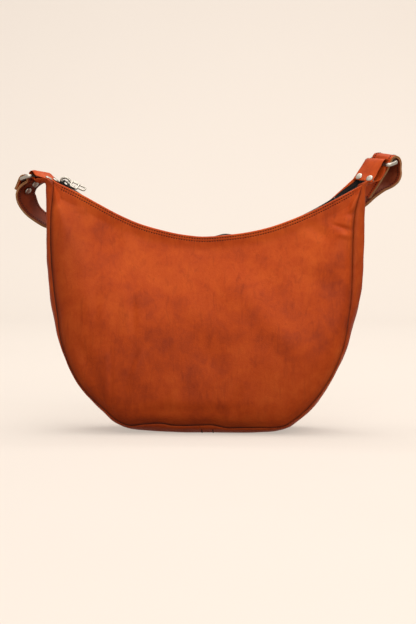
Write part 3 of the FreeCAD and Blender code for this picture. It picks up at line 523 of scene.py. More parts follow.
def panel_grid(side, mouth_mm, insets, folds, seed):
    """Points of one panel: inner hem, fold, outer face with its belly, and the lip turned into the seam."""
    line = curve_through(CROWN_LINE_MM, PANEL_COLUMNS)
    out = outward(line)
    mouth = curve_through(mouth_mm, PANEL_COLUMNS)
    inset = line[:, 3] if insets is None else np.full(PANEL_COLUMNS, insets)
    seam = line[:, :3] - out * inset[:, None]
    seam[:, 1] = side * half_depth(line[:, 2])
    reach = np.linalg.norm((seam - mouth)[:, (0, 2)], axis=1)
    lip_scale = np.clip(reach / PANEL_LIP_REACH_MM, 0.15, 1)[:, None]
    target = seam - out * PANEL_LIP_MM * lip_scale
    span = np.linalg.norm((target - mouth)[:, (0, 2)], axis=1)
    hem_scale = np.minimum(1.0, HEM_SHARE * span / HEM_ROWS_MM[-1])
    bulge = PANEL_BULGE_MM * (span / FULL_SPAN_MM) ** 2
    hem_end = np.minimum(HEM_FLAT_MM, HEM_SHARE * span)

    def outer(distance):
        share = (distance / span)[:, None]
        row = mouth + (target - mouth) * share
        t = np.clip((distance - hem_end) / (span - hem_end), 0, 1)
        belly = 3.2 * t * (1 - t) + BASE_TUCK * t ** 6 * (1 - t) ** 0.6
        ease = np.clip(2 * t, 0, 1)
        roll = ROLL_MM * ease ** 2 * (3 - 2 * ease) * (1 - np.exp(-(span - distance) / ROLL_REACH_MM))
        row[:, 1] = mouth[:, 1] * (1 - t) + target[:, 1] * t + side * (bulge * belly + roll)
        return row

    rows = []
    inward = np.array((0.0, -side, 0.0))
    for depth in INNER_HEM_ROWS_MM:
        rows.append(outer(depth * hem_scale) + inward * 2 * HEM_FOLD_MM)
    for turn in np.linspace(math.pi, 0, 7):
        fold = inward * HEM_FOLD_MM * (1 - math.cos(turn)) + np.array((0, 0, HEM_FOLD_MM * math.sin(turn)))
        rows.append(outer(np.zeros(PANEL_COLUMNS)) + fold)
    hem_start = len(rows)
    for depth in HEM_ROWS_MM:
        row = outer(depth * hem_scale)
        pull = sum(FURROW_DEPTH_MM * math.exp(-((depth - s) / FURROW_HALF_MM) ** 2) for s in STITCH_ROWS_MM)
        rows.append(row + inward * pull)
    start = HEM_ROWS_MM[-1] * hem_scale
    for k in range(1, BELLY_ROWS + 1):
        rows.append(outer(start + (span - start) * (k / BELLY_ROWS)))
    lip_start = len(rows)
    for depth, inside in LIP_ROWS_MM:
        rows.append(seam - out * depth * lip_scale + inward * inside * lip_scale)
    grid = np.array(rows)
    gap = np.linalg.norm((grid - seam[None])[:, :, (0, 2)], axis=2)
    room = np.clip((np.arange(len(rows)) - hem_start - 6) / 14, 0, 1)[:, None]
    near = np.exp(-gap / 9.0)
    quiet = np.clip(gap / 30, 0, 1) * room
    height = ripple(grid, SEAM_RIPPLE_MM[0], seed) * SEAM_RIPPLE_MM[1] * near * room
    height += ripple(grid, BROAD_WAVE_MM[0], seed + 5) * BROAD_WAVE_MM[1] * quiet
    height += ripple(grid, SMALL_WAVE_MM[0], seed + 9) * SMALL_WAVE_MM[1] * quiet
    height += fold_heights(grid[:, :, 0], grid[:, :, 2], folds) * np.clip(gap / 4, 0, 1) * room
    height[lip_start + 1:] *= 0.3
    grid[:, :, 1] += side * height
    # Painted shade: dark at the seams and under the belly, and on the front also down its left edge and at
    # its foot, where less light falls
    x, z = grid[:, :, 0], grid[:, :, 2]
    low = np.clip((26 - z) / 12, 0, 1) * (1 - np.clip((np.abs(x + 20) - 62) / 30, 0, 1))
    tip = np.clip((40 - reach) / 20, 0, 1)[None, :]
    seam_width = 3.2 * np.maximum(lip_scale[:, 0], 0.5)
    shade = 0.8 * np.exp(-(gap / seam_width) ** 2) * np.maximum(room, tip) + 0.15 * low
    if side < 0:
        left_edge = np.exp(-((x + 185) / 42) ** 2) * np.clip((285 - z) / 60, 0, 1)
        foot = np.clip((150 - z) / 130, 0, 1)
        shade += (0.3 * left_edge + 0.19 * foot) * room
    return grid, hem_start, shade


front_grid, hem_row, front_shade = panel_grid(-1, FRONT_MOUTH_MM, None, FRONT_FOLDS_MM, 1.7)
back_grid, hem_row, back_shade = panel_grid(1, BACK_MOUTH_MM, BACK_INSET_MM, [], 6.3)
front_panel = grid_piece("front_panel_leather", front_grid)
back_panel = grid_piece("back_panel_leather", back_grid, flip=True)
for panel, node, shade in (
    (front_panel, "front_panel", front_shade), (back_panel, "back_panel", back_shade),
):
    painted_shade(panel, shade)
    panel.data.materials.append(cognac)
    thicken(panel, PANEL_LEATHER_MM)
    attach(panel, "bag")
    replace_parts(panel, node)

# Thread: dark brown bonded polyester, two rows along each hem and two across the lap seam under the bag.
# Lockstitch with a pitch of about 3 mm, each stitch pulled down into the leather at both ends.

STITCH_PITCH_MM = 3.05
STITCH_LENGTH_MM = 1.7
THREAD_RADIUS_MM = 0.6
THREAD_SIDES = 6
# How high a stitch's middle stands, and how far its ends are pulled down from there
STITCH_LIFT_MM = (0.24, 0.70)
LAP_ROWS_X_MM = (-2.4, 10.7)
# Rows of the strip among which the lap seam lies, and columns at each end of a seam that have no stitch
LAP_NEAR_ROWS = 80
LAP_BARE_COLUMNS = 4
HEM_BARE_COLUMNS = 8


def stitches(line, normals):
    """Points and faces of a row of stitches along a line in mm that lies on the leather."""
    run = lengths(line)
    count = int(run[-1] / STITCH_PITCH_MM)
    centres = (np.arange(count) + 0.5) * run[-1] / count
    points, faces = [], []
    steps = np.linspace(-1, 1, 7)
    sides = THREAD_SIDES
    for centre in centres:
        first = len(points)
        for s in steps:
            at = centre + s * STITCH_LENGTH_MM / 2
            p = np.array([np.interp(at, run, line[:, k]) for k in range(3)])
            q = np.array([np.interp(at + 0.1, run, line[:, k]) for k in range(3)])
            n = unit(np.array([np.interp(at, run, normals[:, k]) for k in range(3)]))
            way = unit(q - p) if np.linalg.norm(q - p) > 1e-6 else unit(line[-1] - line[-2])
            b = unit(np.cross(way, n))
            lift = STITCH_LIFT_MM[0] - STITCH_LIFT_MM[1] * abs(s) ** 4
            radius = THREAD_RADIUS_MM * (1 - 0.35 * abs(s) ** 6)
            for k in range(sides):
                turn = 2 * math.pi * k / sides
                points.append(p + n * (lift + radius * math.cos(turn)) + b * radius * math.sin(turn))
        for i in range(len(steps) - 1):
            for k in range(sides):
                a = first + i * sides + k
                c = first + i * sides + (k + 1) % sides
                faces.append((a, c, c + sides, a + sides))
        faces.append(tuple(first + k for k in range(sides)))
        faces.append(tuple(first + (len(steps) - 1) * sides + k for k in reversed(range(sides))))
    points = np.array(points)
    points[:, 2] = np.maximum(points[:, 2], 0.0)
    return points.tolist(), faces


def thread_piece(name, rows):
    """One piece of thread from several rows, each given as its line and the leather's normals along it."""
    points, faces = [], []
    for line, normals in rows:
        more, more_faces = stitches(line, normals)
        faces += [tuple(k + len(points) for k in face) for face in more_faces]
        points += more
    return mesh_piece(name, (np.array(points) * MM).tolist(), faces)


def grid_normals(grid, flip):
    """Normals of a grid of points, out of the face that shows."""
    along = np.gradient(grid, axis=0)
    across = np.gradient(grid, axis=1)
    normals = np.cross(across, along)
    return unit(normals if flip else -normals)


def polyester_thread(name, colour):
    """Bonded sewing thread: dark and nearly matt, mottled by the twist of its plies, drawn at 0.5 mm."""
    material, tree, shader = new_material(name)
    place = add_node(tree, "ShaderNodeTexCoord", {}).outputs["Object"]
    twist = add_node(tree, "ShaderNodeTexNoise", {"Vector": place, "Scale": 1 / (0.5 * MM), "Detail": 2.0})
    tint = add_node(tree, "ShaderNodeMix", {
        "Factor": twist.outputs["Fac"], "A": srgb(colour), "B": srgb("#2b0d06"),
    }, data_type="RGBA")
    tree.links.new(tint.outputs["Result"], shader.inputs["Base Color"])
    shader.inputs["Roughness"].default_value = 0.7
    shader.inputs["Specular IOR Level"].default_value = 0.2
    return material


dark_thread = polyester_thread("dark brown polyester thread", "#160502")
hem_lines = []
for grid, flip in ((front_grid, False), (back_grid, True)):
    normals = grid_normals(grid, flip)
    for depth in STITCH_ROWS_MM:
        k = hem_row + min(range(len(HEM_ROWS_MM)), key=lambda r: abs(HEM_ROWS_MM[r] - depth))
        sewn = slice(HEM_BARE_COLUMNS, -HEM_BARE_COLUMNS)
        hem_lines.append((grid[k][sewn], normals[k][sewn]))
hem_thread = thread_piece("hem_thread", hem_lines)
lap_normals = grid_normals(right_strip, True)
lap_lines = []
for x in LAP_ROWS_X_MM:
    k = int(np.argmin(np.abs(right_strip[:LAP_NEAR_ROWS, GUSSET_COLUMNS // 2, 0] - x)))
    sewn = slice(LAP_BARE_COLUMNS, -LAP_BARE_COLUMNS)
    lap_lines.append((right_strip[k][sewn], lap_normals[k][sewn]))
lap_thread = thread_piece("lap_seam_thread", lap_lines)
for piece in (hem_thread, lap_thread):
    piece.data.materials.append(dark_thread)
    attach(piece, "bag")

# Lining: black plain-weave cotton, sewn up as a loose second bag from a front, a back and a gusset of its
# own, and caught under the zip tape. Only its top shows, between the edges at the right horn.

CLOTH_MM = 0.5
LINING_GAP_MM = 3.2
LINING_STRIP_GAP_MM = 4.0
# Where the lining's strip ends, in the right horn under the tab
LINING_RISE_MM = (190.9, 0, 299, 4.6)
# A wave texture at scale 1 repeats every 2 pi / 20
WAVE_PERIOD = 0.314


def black_cloth(name, colour, rib_mm):
    """Dyed black woven cloth: threads over and under at rib_mm, which leave a fine matt tooth."""
    material, tree, shader = new_material(name)
    place = add_node(tree, "ShaderNodeUVMap", {}, uv_map="length_and_width").outputs["UV"]
    ribs = []
    for direction in ("X", "Y"):
        ribs.append(add_node(tree, "ShaderNodeTexWave", {
            "Vector": place, "Scale": WAVE_PERIOD / (rib_mm * MM), "Distortion": 0.3,
        }, bands_direction=direction).outputs["Fac"])
    weave = add_node(tree, "ShaderNodeMath", {0: ribs[0], 1: ribs[1]}, operation="MULTIPLY")
    tint = add_node(tree, "ShaderNodeMix", {
        "Factor": weave.outputs["Value"], "A": srgb(colour), "B": srgb("#111112"),
    }, data_type="RGBA")
    tree.links.new(tint.outputs["Result"], shader.inputs["Base Color"])
    bump = add_node(tree, "ShaderNodeBump", {
        "Height": weave.outputs["Value"], "Strength": 0.5, "Distance": 0.3 * MM,
    })
    tree.links.new(bump.outputs["Normal"], shader.inputs["Normal"])
    shader.inputs["Roughness"].default_value = 0.8
    shader.inputs["Specular IOR Level"].default_value = 0.08
    return material


lining_cloth = black_cloth("black cotton lining", "#08080a", 0.9)
for side, grid, node in ((-1, front_grid, "front_lining"), (1, back_grid, "back_lining")):
    # Every third of the panel's rows and columns, from below the hem to above the seam
    rows = grid[hem_row + 12:-4:3, 6:-6:3] - np.array((0, side * LINING_GAP_MM, 0))
    lining = grid_piece(node + "_cloth", rows, flip=side > 0)
    lining.data.materials.append(lining_cloth)
    thicken(lining, CLOTH_MM)
    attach(lining, "bag")
    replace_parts(lining, node)
strip_line = curve_through(CROWN_LINE_MM + [LINING_RISE_MM], 181)
strip_in = strip_line[:, :3] - outward(strip_line) * LINING_STRIP_GAP_MM
whole = []
for share in np.linspace(-0.9, 0.9, 13):
    fall = strip_fall(share)
    inset = strip_line[:, 3] if share < 0 else np.full(len(strip_line), BACK_INSET_MM)
    row = strip_in - outward(strip_line) * (fall * inset)[:, None]
    row[:, 1] = share * (half_depth(strip_line[:, 2]) - 1.0)
    whole.append(row)
whole = np.stack(whole, axis=1)
lining_strip = grid_piece("lining_gusset_cloth", whole, flip=True)
lining_strip.data.materials.append(lining_cloth)
thicken(lining_strip, CLOTH_MM)
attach(lining_strip, "bag")
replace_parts(lining_strip, "lining_gusset")

# Zip: a black nylon coil zip on two woven polyester tapes, each sewn down inside its hem. It is closed, with
# its slider at the left end of the mouth, drawn black as painted shade, and a crown and an open pull of
# nickel-plated wire.

ZIP_CENTRE_MM = np.array((5.0, 0.0, 515.0))
ZIP_RADIUS_MM = 280.0
TAPE_ENDS_DEG = (-39.6, 40.5)
CHAIN_ENDS_DEG = (-37.7, 31.85)
BOTTOM_STOP_DEG = 32.2
ZIP_SAG_MM = 4.8
ZIP_BULGE_MM = 3.3
ZIP_BULGE_DEG = (3.6, 2.3)
COIL_PITCH_MM = 1.6
TAPE_TILT_MM = 5.6
TILT_LENGTH_DEG = 7.0
# The tape's halves part left of the chain: how far, and over which turn
PARTING_MM = 2.4
PARTING_DEG = 1.2
# Half of the tape, from the flange in the hem to the coil: out from the middle, and down
TAPE_PROFILE_MM = [
    (10.9, 8.0), (10.9, 4.5), (10.7, 1.6), (10.0, 0.5), (8.0, 0.1), (6.0, 0.0), (4.0, 0.0), (1.0, 0.1),
]
# The coil: the middle of a loop, out and up, its half width and height, and its wire's radius
COIL_MIDDLE_MM = (1.35, 1.2)
COIL_LOOP_MM = (1.1, 0.6)
COIL_WIRE_MM = 0.33
# The bottom stop, a staple over both rows: across the zip, and down
STAPLE_MM = [(-3.4, 1.2), (-3.3, 0.0), (-2.4, -0.9), (2.4, -0.9), (3.3, 0.0), (3.4, 1.2)]
STAPLE_WIRE_MM = 0.9
# A way that no open wire runs along, to start its round from
WIRE_ASIDE = (0.31, 0.93, 0.2)
CORNER_STEPS = 8


def on_zip(turn_deg, y, drop):
    """A point on the zip: its place along the circle, across it, and below it. Its middle sags a little,
    apart from one short bulge that stands up above the front hem."""
    turn = np.radians(turn_deg)
    bulge = ZIP_BULGE_MM * np.exp(-((turn_deg - ZIP_BULGE_DEG[0]) / ZIP_BULGE_DEG[1]) ** 2)
    sag = ZIP_SAG_MM * np.cos(np.clip(turn * 2.5, -math.pi / 2, math.pi / 2)) ** 2
    reach = ZIP_RADIUS_MM + drop + sag - bulge
    return ZIP_CENTRE_MM + np.stack([np.sin(turn) * reach, y, -np.cos(turn) * reach], axis=-1)


tape_cloth = black_cloth("black woven zip tape", "#09090a", 0.7)
turns = np.linspace(*TAPE_ENDS_DEG, 180)
open_end = np.clip((CHAIN_ENDS_DEG[0] - turns) / PARTING_DEG, 0, 1)
for side, node, tilt_deg, tilt_slope in (
    (-1, "zip_tape_front", 31.0, 0.25), (1, "zip_tape_back", 28.0, -1.15),
):
    ease = np.clip((turns - tilt_deg) / TILT_LENGTH_DEG, 0, 1)
    tape_tilt = TAPE_TILT_MM * ease ** 2 * (3 - 2 * ease)
    columns = []
    for y, drop in TAPE_PROFILE_MM:
        width = np.full(len(turns), float(y))
        if y < 3:
            width = width + PARTING_MM * open_end - 0.9 * ease
        slope = 0.45 + tilt_slope * width / 11
        columns.append(on_zip(turns, side * width, drop * (1 - ease) + tape_tilt * slope))
    tape = grid_piece(node + "_woven", np.stack(columns, axis=1), flip=side > 0)
    tape.data.materials.append(tape_cloth)
    thicken(tape, CLOTH_MM)
    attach(tape, "bag")
    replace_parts(tape, node)


def tube(name, path, radius_mm, sides, normal=None):
    """A round tube along a path in mm. A path with a normal is a flat closed loop, and others are capped."""
    path = np.array(path)
    count = len(path)
    if normal is None:
        ways = unit(np.gradient(path, axis=0))
        side_way = unit(np.cross(ways, np.array(WIRE_ASIDE)))
    else:
        ways = unit(np.roll(path, -1, axis=0) - np.roll(path, 1, axis=0))
        side_way = np.repeat(unit(np.array(normal))[None], count, axis=0)
    up_way = np.cross(side_way, ways)
    points, faces = [], []
    for p, a, b in zip(path, side_way, up_way):
        for k in range(sides):
            turn = 2 * math.pi * k / sides
            points.append(p + (a * math.cos(turn) + b * math.sin(turn)) * radius_mm)
    for i in range(count - 1 if normal is None else count):
        for k in range(sides):
            here, there = i * sides, (i + 1) % count * sides
            after = (k + 1) % sides
            faces.append((here + k, here + after, there + after, there + k))
    if normal is None:
        faces.append(tuple(reversed(range(sides))))
        faces.append(tuple((count - 1) * sides + k for k in range(sides)))
    return mesh_piece(name, (np.array(points) * MM).tolist(), faces)


def nylon(name, colour):
    """Drawn nylon monofilament, dyed black: smooth and half glossy, slightly wavy from heat setting."""
    material, tree, shader = new_material(name)
    place = add_node(tree, "ShaderNodeTexCoord", {}).outputs["Object"]
    wave = add_node(tree, "ShaderNodeTexNoise", {"Vector": place, "Scale": 1 / (2 * MM)})
    tint = add_node(tree, "ShaderNodeMix", {
        "Factor": wave.outputs["Fac"], "A": srgb(colour), "B": srgb("#222224"),
    }, data_type="RGBA")
    tree.links.new(tint.outputs["Result"], shader.inputs["Base Color"])
    shader.inputs["Roughness"].default_value = 0.38
    shader.inputs["IOR"].default_value = 1.53
    return material


coil_nylon = nylon("black nylon coil", "#0e0e0f")
turn_count = math.radians(CHAIN_ENDS_DEG[1] - CHAIN_ENDS_DEG[0]) * ZIP_RADIUS_MM / COIL_PITCH_MM
for side, node in ((-1, "zip_coil_front"), (1, "zip_coil_back")):
    steps = np.linspace(0, 1, int(turn_count * 12))
    phase = steps * turn_count * 2 * math.pi + (math.pi if side > 0 else 0)
    where = CHAIN_ENDS_DEG[0] + steps * (CHAIN_ENDS_DEG[1] - CHAIN_ENDS_DEG[0])
    coil_out = COIL_MIDDLE_MM[0] + COIL_LOOP_MM[0] * np.cos(phase)
    path = on_zip(where, side * coil_out, -COIL_MIDDLE_MM[1] + COIL_LOOP_MM[1] * np.sin(phase))
    coil = tube(node + "_loops", path, COIL_WIRE_MM, 6)
    coil.data.materials.append(coil_nylon)
    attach(coil, "bag")
    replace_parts(coil, node)


def nickel_plate(name, colour, rough):
    """Bright nickel plating on polished metal: a warm grey mirror, slightly hazed by handling marks."""
    material, tree, shader = new_material(name)
    place = add_node(tree, "ShaderNodeTexCoord", {}).outputs["Object"]
    haze = add_node(tree, "ShaderNodeTexNoise", {"Vector": place, "Scale": 1 / (3 * MM), "Detail": 4.0})
    tint = add_node(tree, "ShaderNodeMix", {
        "Factor": haze.outputs["Fac"], "A": srgb(colour), "B": srgb("#96928a"),
    }, data_type="RGBA")
    tree.links.new(tint.outputs["Result"], shader.inputs["Base Color"])
    marks = add_node(tree, "ShaderNodeMapRange", {
        "Value": haze.outputs["Fac"], "From Min": 0.3, "From Max": 0.7,
        "To Min": rough - 0.05, "To Max": rough + 0.1,
    })
    tree.links.new(marks.outputs["Result"], shader.inputs["Roughness"])
    shader.inputs["Metallic"].default_value = 1.0
    return material


nickel = nickel_plate("bright nickel plate", "#b4b0a8", 0.36)
# The slider's body takes the black nylon as painted shade, for it lies in shadow under the crown.
for node, finish in (("zip_slider", coil_nylon), ("zip_top_stops", nickel)):
    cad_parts[node].data.materials.clear()
    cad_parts[node].data.materials.append(finish)


def frame_path(middle, a, b, half_a, half_b, corner):
    """Points round a flat rectangle with round corners, spanned by the two ways a and b."""
    points = []
    for sign_a, sign_b, start in ((1, 1, 0), (-1, 1, 90), (-1, -1, 180), (1, -1, 270)):
        for turn in np.linspace(start, start + 90, CORNER_STEPS):
            c, s = math.cos(math.radians(turn)), math.sin(math.radians(turn))
            reach_a = sign_a * (half_a - corner) + corner * c
            reach_b = sign_b * (half_b - corner) + corner * s
            points.append(middle + a * reach_a + b * reach_b)
    return points


def joined(name, pieces, material, body):
    """One piece from several that overlap, as castings or wires that are soldered together."""
    points, faces = [], []
    for piece in pieces:
        faces += [tuple(k + len(points) for k in p.vertices) for p in piece.data.polygons]
        points += [tuple(v.co) for v in piece.data.vertices]
        bpy.data.objects.remove(piece)
    whole_piece = mesh_piece(name, points, faces)
    whole_piece.data.materials.append(material)
    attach(whole_piece, body)
    return whole_piece


staple_path = np.array([on_zip(BOTTOM_STOP_DEG, y, drop) for y, drop in STAPLE_MM])
bottom_staple = tube("bottom_staple", curve_through(staple_path, 24), STAPLE_WIRE_MM, 10)
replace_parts(joined("zip_bottom_staple", [bottom_staple], coil_nylon, "bag"), "zip_bottom_stop")

CROWN_WIRE_MM = 1.45
# The crown: an arch of wire over the slider, from its left foot to its right one
CROWN_ARCH_MM = [
    (-172.2, 0, 298.8), (-173.6, 0, 300.0), (-172.4, 0, 302.3), (-169.2, 0, 303.2), (-165.6, 0, 302.2),
    (-163.0, 0, 299.8), (-161.9, 0, 297.4), (-161.6, 0, 296.0),
]
crown_arch = tube("crown_arch", curve_through(CROWN_ARCH_MM, 40), CROWN_WIRE_MM, 12)
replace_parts(joined("zip_crown_arch", [crown_arch], nickel, "slider"), "zip_crown")

PULL_PIN_MM = np.array((-163.8, 0.0, 298.2))
PULL_WAY = unit(np.array((0.90, 0.0, -0.43)))
PULL_UP = np.array((-PULL_WAY[2], 0.0, PULL_WAY[0]))
PULL_TILT_DEG = 42.0
# The pull's long loop and the frame round its upper half: the middle along the pull and across it, half
# length, half width, corner, and the wire's radius
PULL_LOOPS_MM = {
    "pull_loop": (10.0, 0.0, 11.0, 2.9, 2.4, 1.1), "pull_window": (7.6, 0.8, 4.4, 4.5, 1.3, 1.45),
}
pull_tilt = math.radians(PULL_TILT_DEG)
pull_wide = -PULL_UP * math.sin(pull_tilt) - np.array((0, math.cos(pull_tilt), 0))
pull_normal = np.cross(PULL_WAY, pull_wide)
pull_wires = []
for name, (along, aside, half_length, half_width, corner, radius) in PULL_LOOPS_MM.items():
    loop_middle = PULL_PIN_MM + PULL_WAY * along + pull_wide * aside
    loop_path = frame_path(loop_middle, PULL_WAY, pull_wide, half_length, half_width, corner)
    pull_wires.append(tube(name, loop_path, radius, 12, pull_normal))
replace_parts(joined("zip_pull_wires", pull_wires, nickel, "pull"), "zip_pull")

# Rings: rectangular rings of nickel-plated steel wire, bent round at the corners and soldered. One bar lies
# in the tab's fold and the other in the strap's loop.

RING_SPAN_MM = 15.0
RING_HALF_LENGTH_MM = 19.5
RING_CORNER_MM = 4.5
RING_WAYS = {"left": (-0.794, 0.557, -0.243), "right": (0.695, 0.661, 0.284)}
for side, end in (("left", left_horn), ("right", right_horn)):
    ring_way = unit(np.array(RING_WAYS[side]))
    ring_path = frame_path(
        end["bar"] + ring_way * RING_SPAN_MM / 2, end["across"], ring_way,
        RING_HALF_LENGTH_MM, RING_SPAN_MM / 2, RING_CORNER_MM,
    )
    wire = tube("ring_" + side + "_wire", ring_path, RING_WIRE_MM, 18, np.cross(end["across"], ring_way))
    wire.data.materials.append(nickel)
    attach(wire, "ring_" + side)
    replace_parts(wire, "ring_" + side)

# Rivets: double-cap tubular rivets of nickel-plated brass, two through each tab and two through the strap's
# left end. Each has a 9 mm domed cap outside and a smaller one behind.

RIVET_SPACING_MM = 17.0
FRONT_CAP_MM = (4.5, 1.5)
BACK_CAP_MM = (3.5, 1.0)
SHANK_RADIUS_MM = 1.6
CAP_SIDES = 28
CAP_TIP_MM = 0.01
# A way that no rivet stands along, to start its round from
RIVET_ASIDE = (0.3, 0.2, 0.93)
# A tab's rivets: along the leg and out from it, and how far the front and back caps lie from there
TAB_RIVETS_MM = {"left": (20.5, -0.9, 1.0, 2.6), "right": (26.0, -0.7, 1.0, 3.6)}
# The cap's section from its middle to its rim: share of the radius, share of the height
CAP_PROFILE = [(0.0, 1.0), (0.5, 0.98), (0.78, 0.9), (0.9, 0.74), (0.97, 0.45), (1.0, 0.15), (0.98, 0.0)]


def rivet_piece(name, places, way, half_mm, back_mm):
    """Rivets at the given places: a domed cap in front, the shank and a smaller cap behind, in one."""
    points, faces = [], []
    way = unit(np.array(way))
    a = unit(np.cross(way, RIVET_ASIDE))
    b = np.cross(way, a)
    sides = CAP_SIDES
    profile = [(share * FRONT_CAP_MM[0], half_mm + FRONT_CAP_MM[1] * rise) for share, rise in CAP_PROFILE]
    profile += [(SHANK_RADIUS_MM, half_mm), (SHANK_RADIUS_MM, -back_mm)]
    for share, rise in reversed(CAP_PROFILE):
        profile.append((share * BACK_CAP_MM[0], -back_mm - BACK_CAP_MM[1] * rise))
    for place in places:
        first = len(points)
        for radius, height in profile:
            for k in range(sides):
                turn = 2 * math.pi * k / sides
                ring = a * math.cos(turn) + b * math.sin(turn)
                points.append(place + way * height + ring * max(radius, CAP_TIP_MM))
        for i in range(len(profile) - 1):
            for k in range(sides):
                p = first + i * sides + k
                q = first + i * sides + (k + 1) % sides
                faces.append((p, p + sides, q + sides, q))
        faces.append(tuple(first + k for k in range(sides)))
        faces.append(tuple(first + (len(profile) - 1) * sides + k for k in reversed(range(sides))))
    piece = mesh_piece(name, (np.array(points) * MM).tolist(), faces)
    piece.data.materials.append(nickel)
    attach(piece, "bag")
    return piece


for name, end, flap in (("left", left_horn, left_flap), ("right", right_horn, right_flap)):
    leg, sink, front, back = TAB_RIVETS_MM[name]
    across = unit(np.array(flap[-1][2]))
    slope = at_fold(end, *flap[-2][:2]) - at_fold(end, *flap[-1][:2])
    middle = at_fold(end, leg, sink)
    spots = [middle + across * s * RIVET_SPACING_MM / 2 for s in (-1, 1)]
    way = np.cross(across, slope)
    way = way * np.sign(way @ end["up"])
    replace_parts(rivet_piece("tab_rivet_caps_" + name, spots, way, front, back), "tab_rivets_" + name)

# Strap: a band 30 mm wide of two leather layers, sewn together about 4 mm in from each raw edge. It is folded
# round the two rings and hangs in a shallow curve behind the bag, upright against the back panel.

STRAP_WIDTH_MM = 30.0
STRAP_LAYER_MM = 1.5
LAYER_GAP_MM = 0.05
STRAP_STATIONS = 481
STRAP_COLUMNS = 17
STRAP_SEAM_COLUMNS = (2, 14)
STRAP_RIVETS_MM = (35.5, 49.5)
STRAP_RIPPLE_MM = (26.0, 0.6)
# The strap's near edge from the tip of its left flap, round the left ring, behind the bag and round the right
# ring to the end of its right flap, each point with the way across to the far edge
STRAP_LINE_MM = [
    (-231.6, 15.6, 289.5, 0.57, 0.82, 0.00), (-228.8, 13.7, 295.5, 0.57, 0.82, 0.00),
    (-227.0, 12.4, 299.5, 0.57, 0.82, 0.00), (-225.3, 11.3, 303.0, 0.57, 0.82, 0.00),
    (-222.0, 9.0, 305.6, 0.57, 0.82, 0.00), (-218.2, 6.4, 304.8, 0.57, 0.82, 0.00),
    (-215.6, 4.5, 301.9, 0.57, 0.82, 0.00), (-216.2, 5.0, 299.2, 0.57, 0.82, 0.00),
    (-219.4, 7.2, 297.0, 0.57, 0.82, 0.00), (-224.2, 10.5, 293.8, 0.58, 0.81, 0.00),
    (-228.2, 13.3, 289.2, 0.60, 0.80, 0.02), (-230.2, 14.6, 282.4, 0.62, 0.78, 0.10),
    (-228.5, 15.5, 273.8, 0.60, 0.75, 0.28), (-221.4, 18.5, 261.8, 0.40, 0.78, 0.48),
    (-210.2, 23.3, 252.0, 0.12, 0.84, 0.53), (-199.6, 28.2, 245.2, 0.05, 0.88, 0.46),
    (-188.5, 31.8, 241.2, 0.03, 0.93, 0.36), (-162.7, 36.5, 230.5, 0.08, 0.70, 0.71),
    (-126.8, 40.0, 217.2, 0.05, 0.35, 0.93), (-70.5, 42.5, 204.9, 0.00, 0.05, 1.00),
    (0.0, 42.3, 199.1, 0.00, -0.10, 1.00), (69.9, 41.5, 209.1, 0.00, 0.05, 1.00),
    (125.8, 39.4, 230.3, -0.05, 0.38, 0.92), (162.0, 37.0, 250.8, -0.10, 0.65, 0.75),
    (190.6, 32.5, 268.7, -0.22, 0.86, 0.46), (205.1, 28.0, 281.9, -0.38, 0.88, 0.28),
    (215.4, 24.0, 288.7, -0.50, 0.84, 0.20), (224.6, 21.3, 293.0, -0.62, 0.76, 0.17),
    (231.2, 21.2, 299.0, -0.71, 0.68, 0.16), (234.0, 22.4, 306.8, -0.71, 0.68, 0.16),
    (233.6, 21.8, 314.0, -0.71, 0.68, 0.16), (233.6, 20.4, 320.5, -0.71, 0.68, 0.16),
    (231.8, 17.2, 325.4, -0.71, 0.68, 0.16), (227.6, 12.3, 327.8, -0.71, 0.68, 0.16),
    (223.4, 8.4, 326.0, -0.71, 0.68, 0.16), (221.2, 7.2, 321.6, -0.71, 0.68, 0.16),
    (218.0, 8.2, 313.6, -0.70, 0.69, 0.16), (211.0, 11.6, 302.0, -0.62, 0.76, 0.18),
    (203.6, 17.2, 289.6, -0.50, 0.83, 0.22), (196.8, 23.5, 278.6, -0.40, 0.87, 0.28),
]
strap_control = np.array(STRAP_LINE_MM)
strap_control[:, 3:6] = unit(strap_control[:, 3:6])
strap_control[:, :3] += strap_control[:, 3:6] * STRAP_WIDTH_MM / 2
strap_path = curve_through(strap_control, STRAP_STATIONS)
strap_wides = unit(strap_path[:, 3:6])
strap_ups = unit(np.cross(unit(np.gradient(strap_path[:, :3], axis=0)), strap_wides))
strap_across = np.linspace(-1, 1, STRAP_COLUMNS) * STRAP_WIDTH_MM / 2
strap_grid = strap_path[:, None, :3] + strap_wides[:, None] * strap_across[None, :, None]
strap_wave = ripple(strap_grid, STRAP_RIPPLE_MM[0], 4.4) * STRAP_RIPPLE_MM[1]
middle_station = int(np.argmin(np.abs(strap_path[:, 0])))
cut_edge = raw_leather_edge("raw tan leather edge", "#c49563", "#8f5a34")
strap_inner = waxed_leather("red brown strap lining leather", "#5a1f0c", "#7e3318", "#9c5234", 0.55)
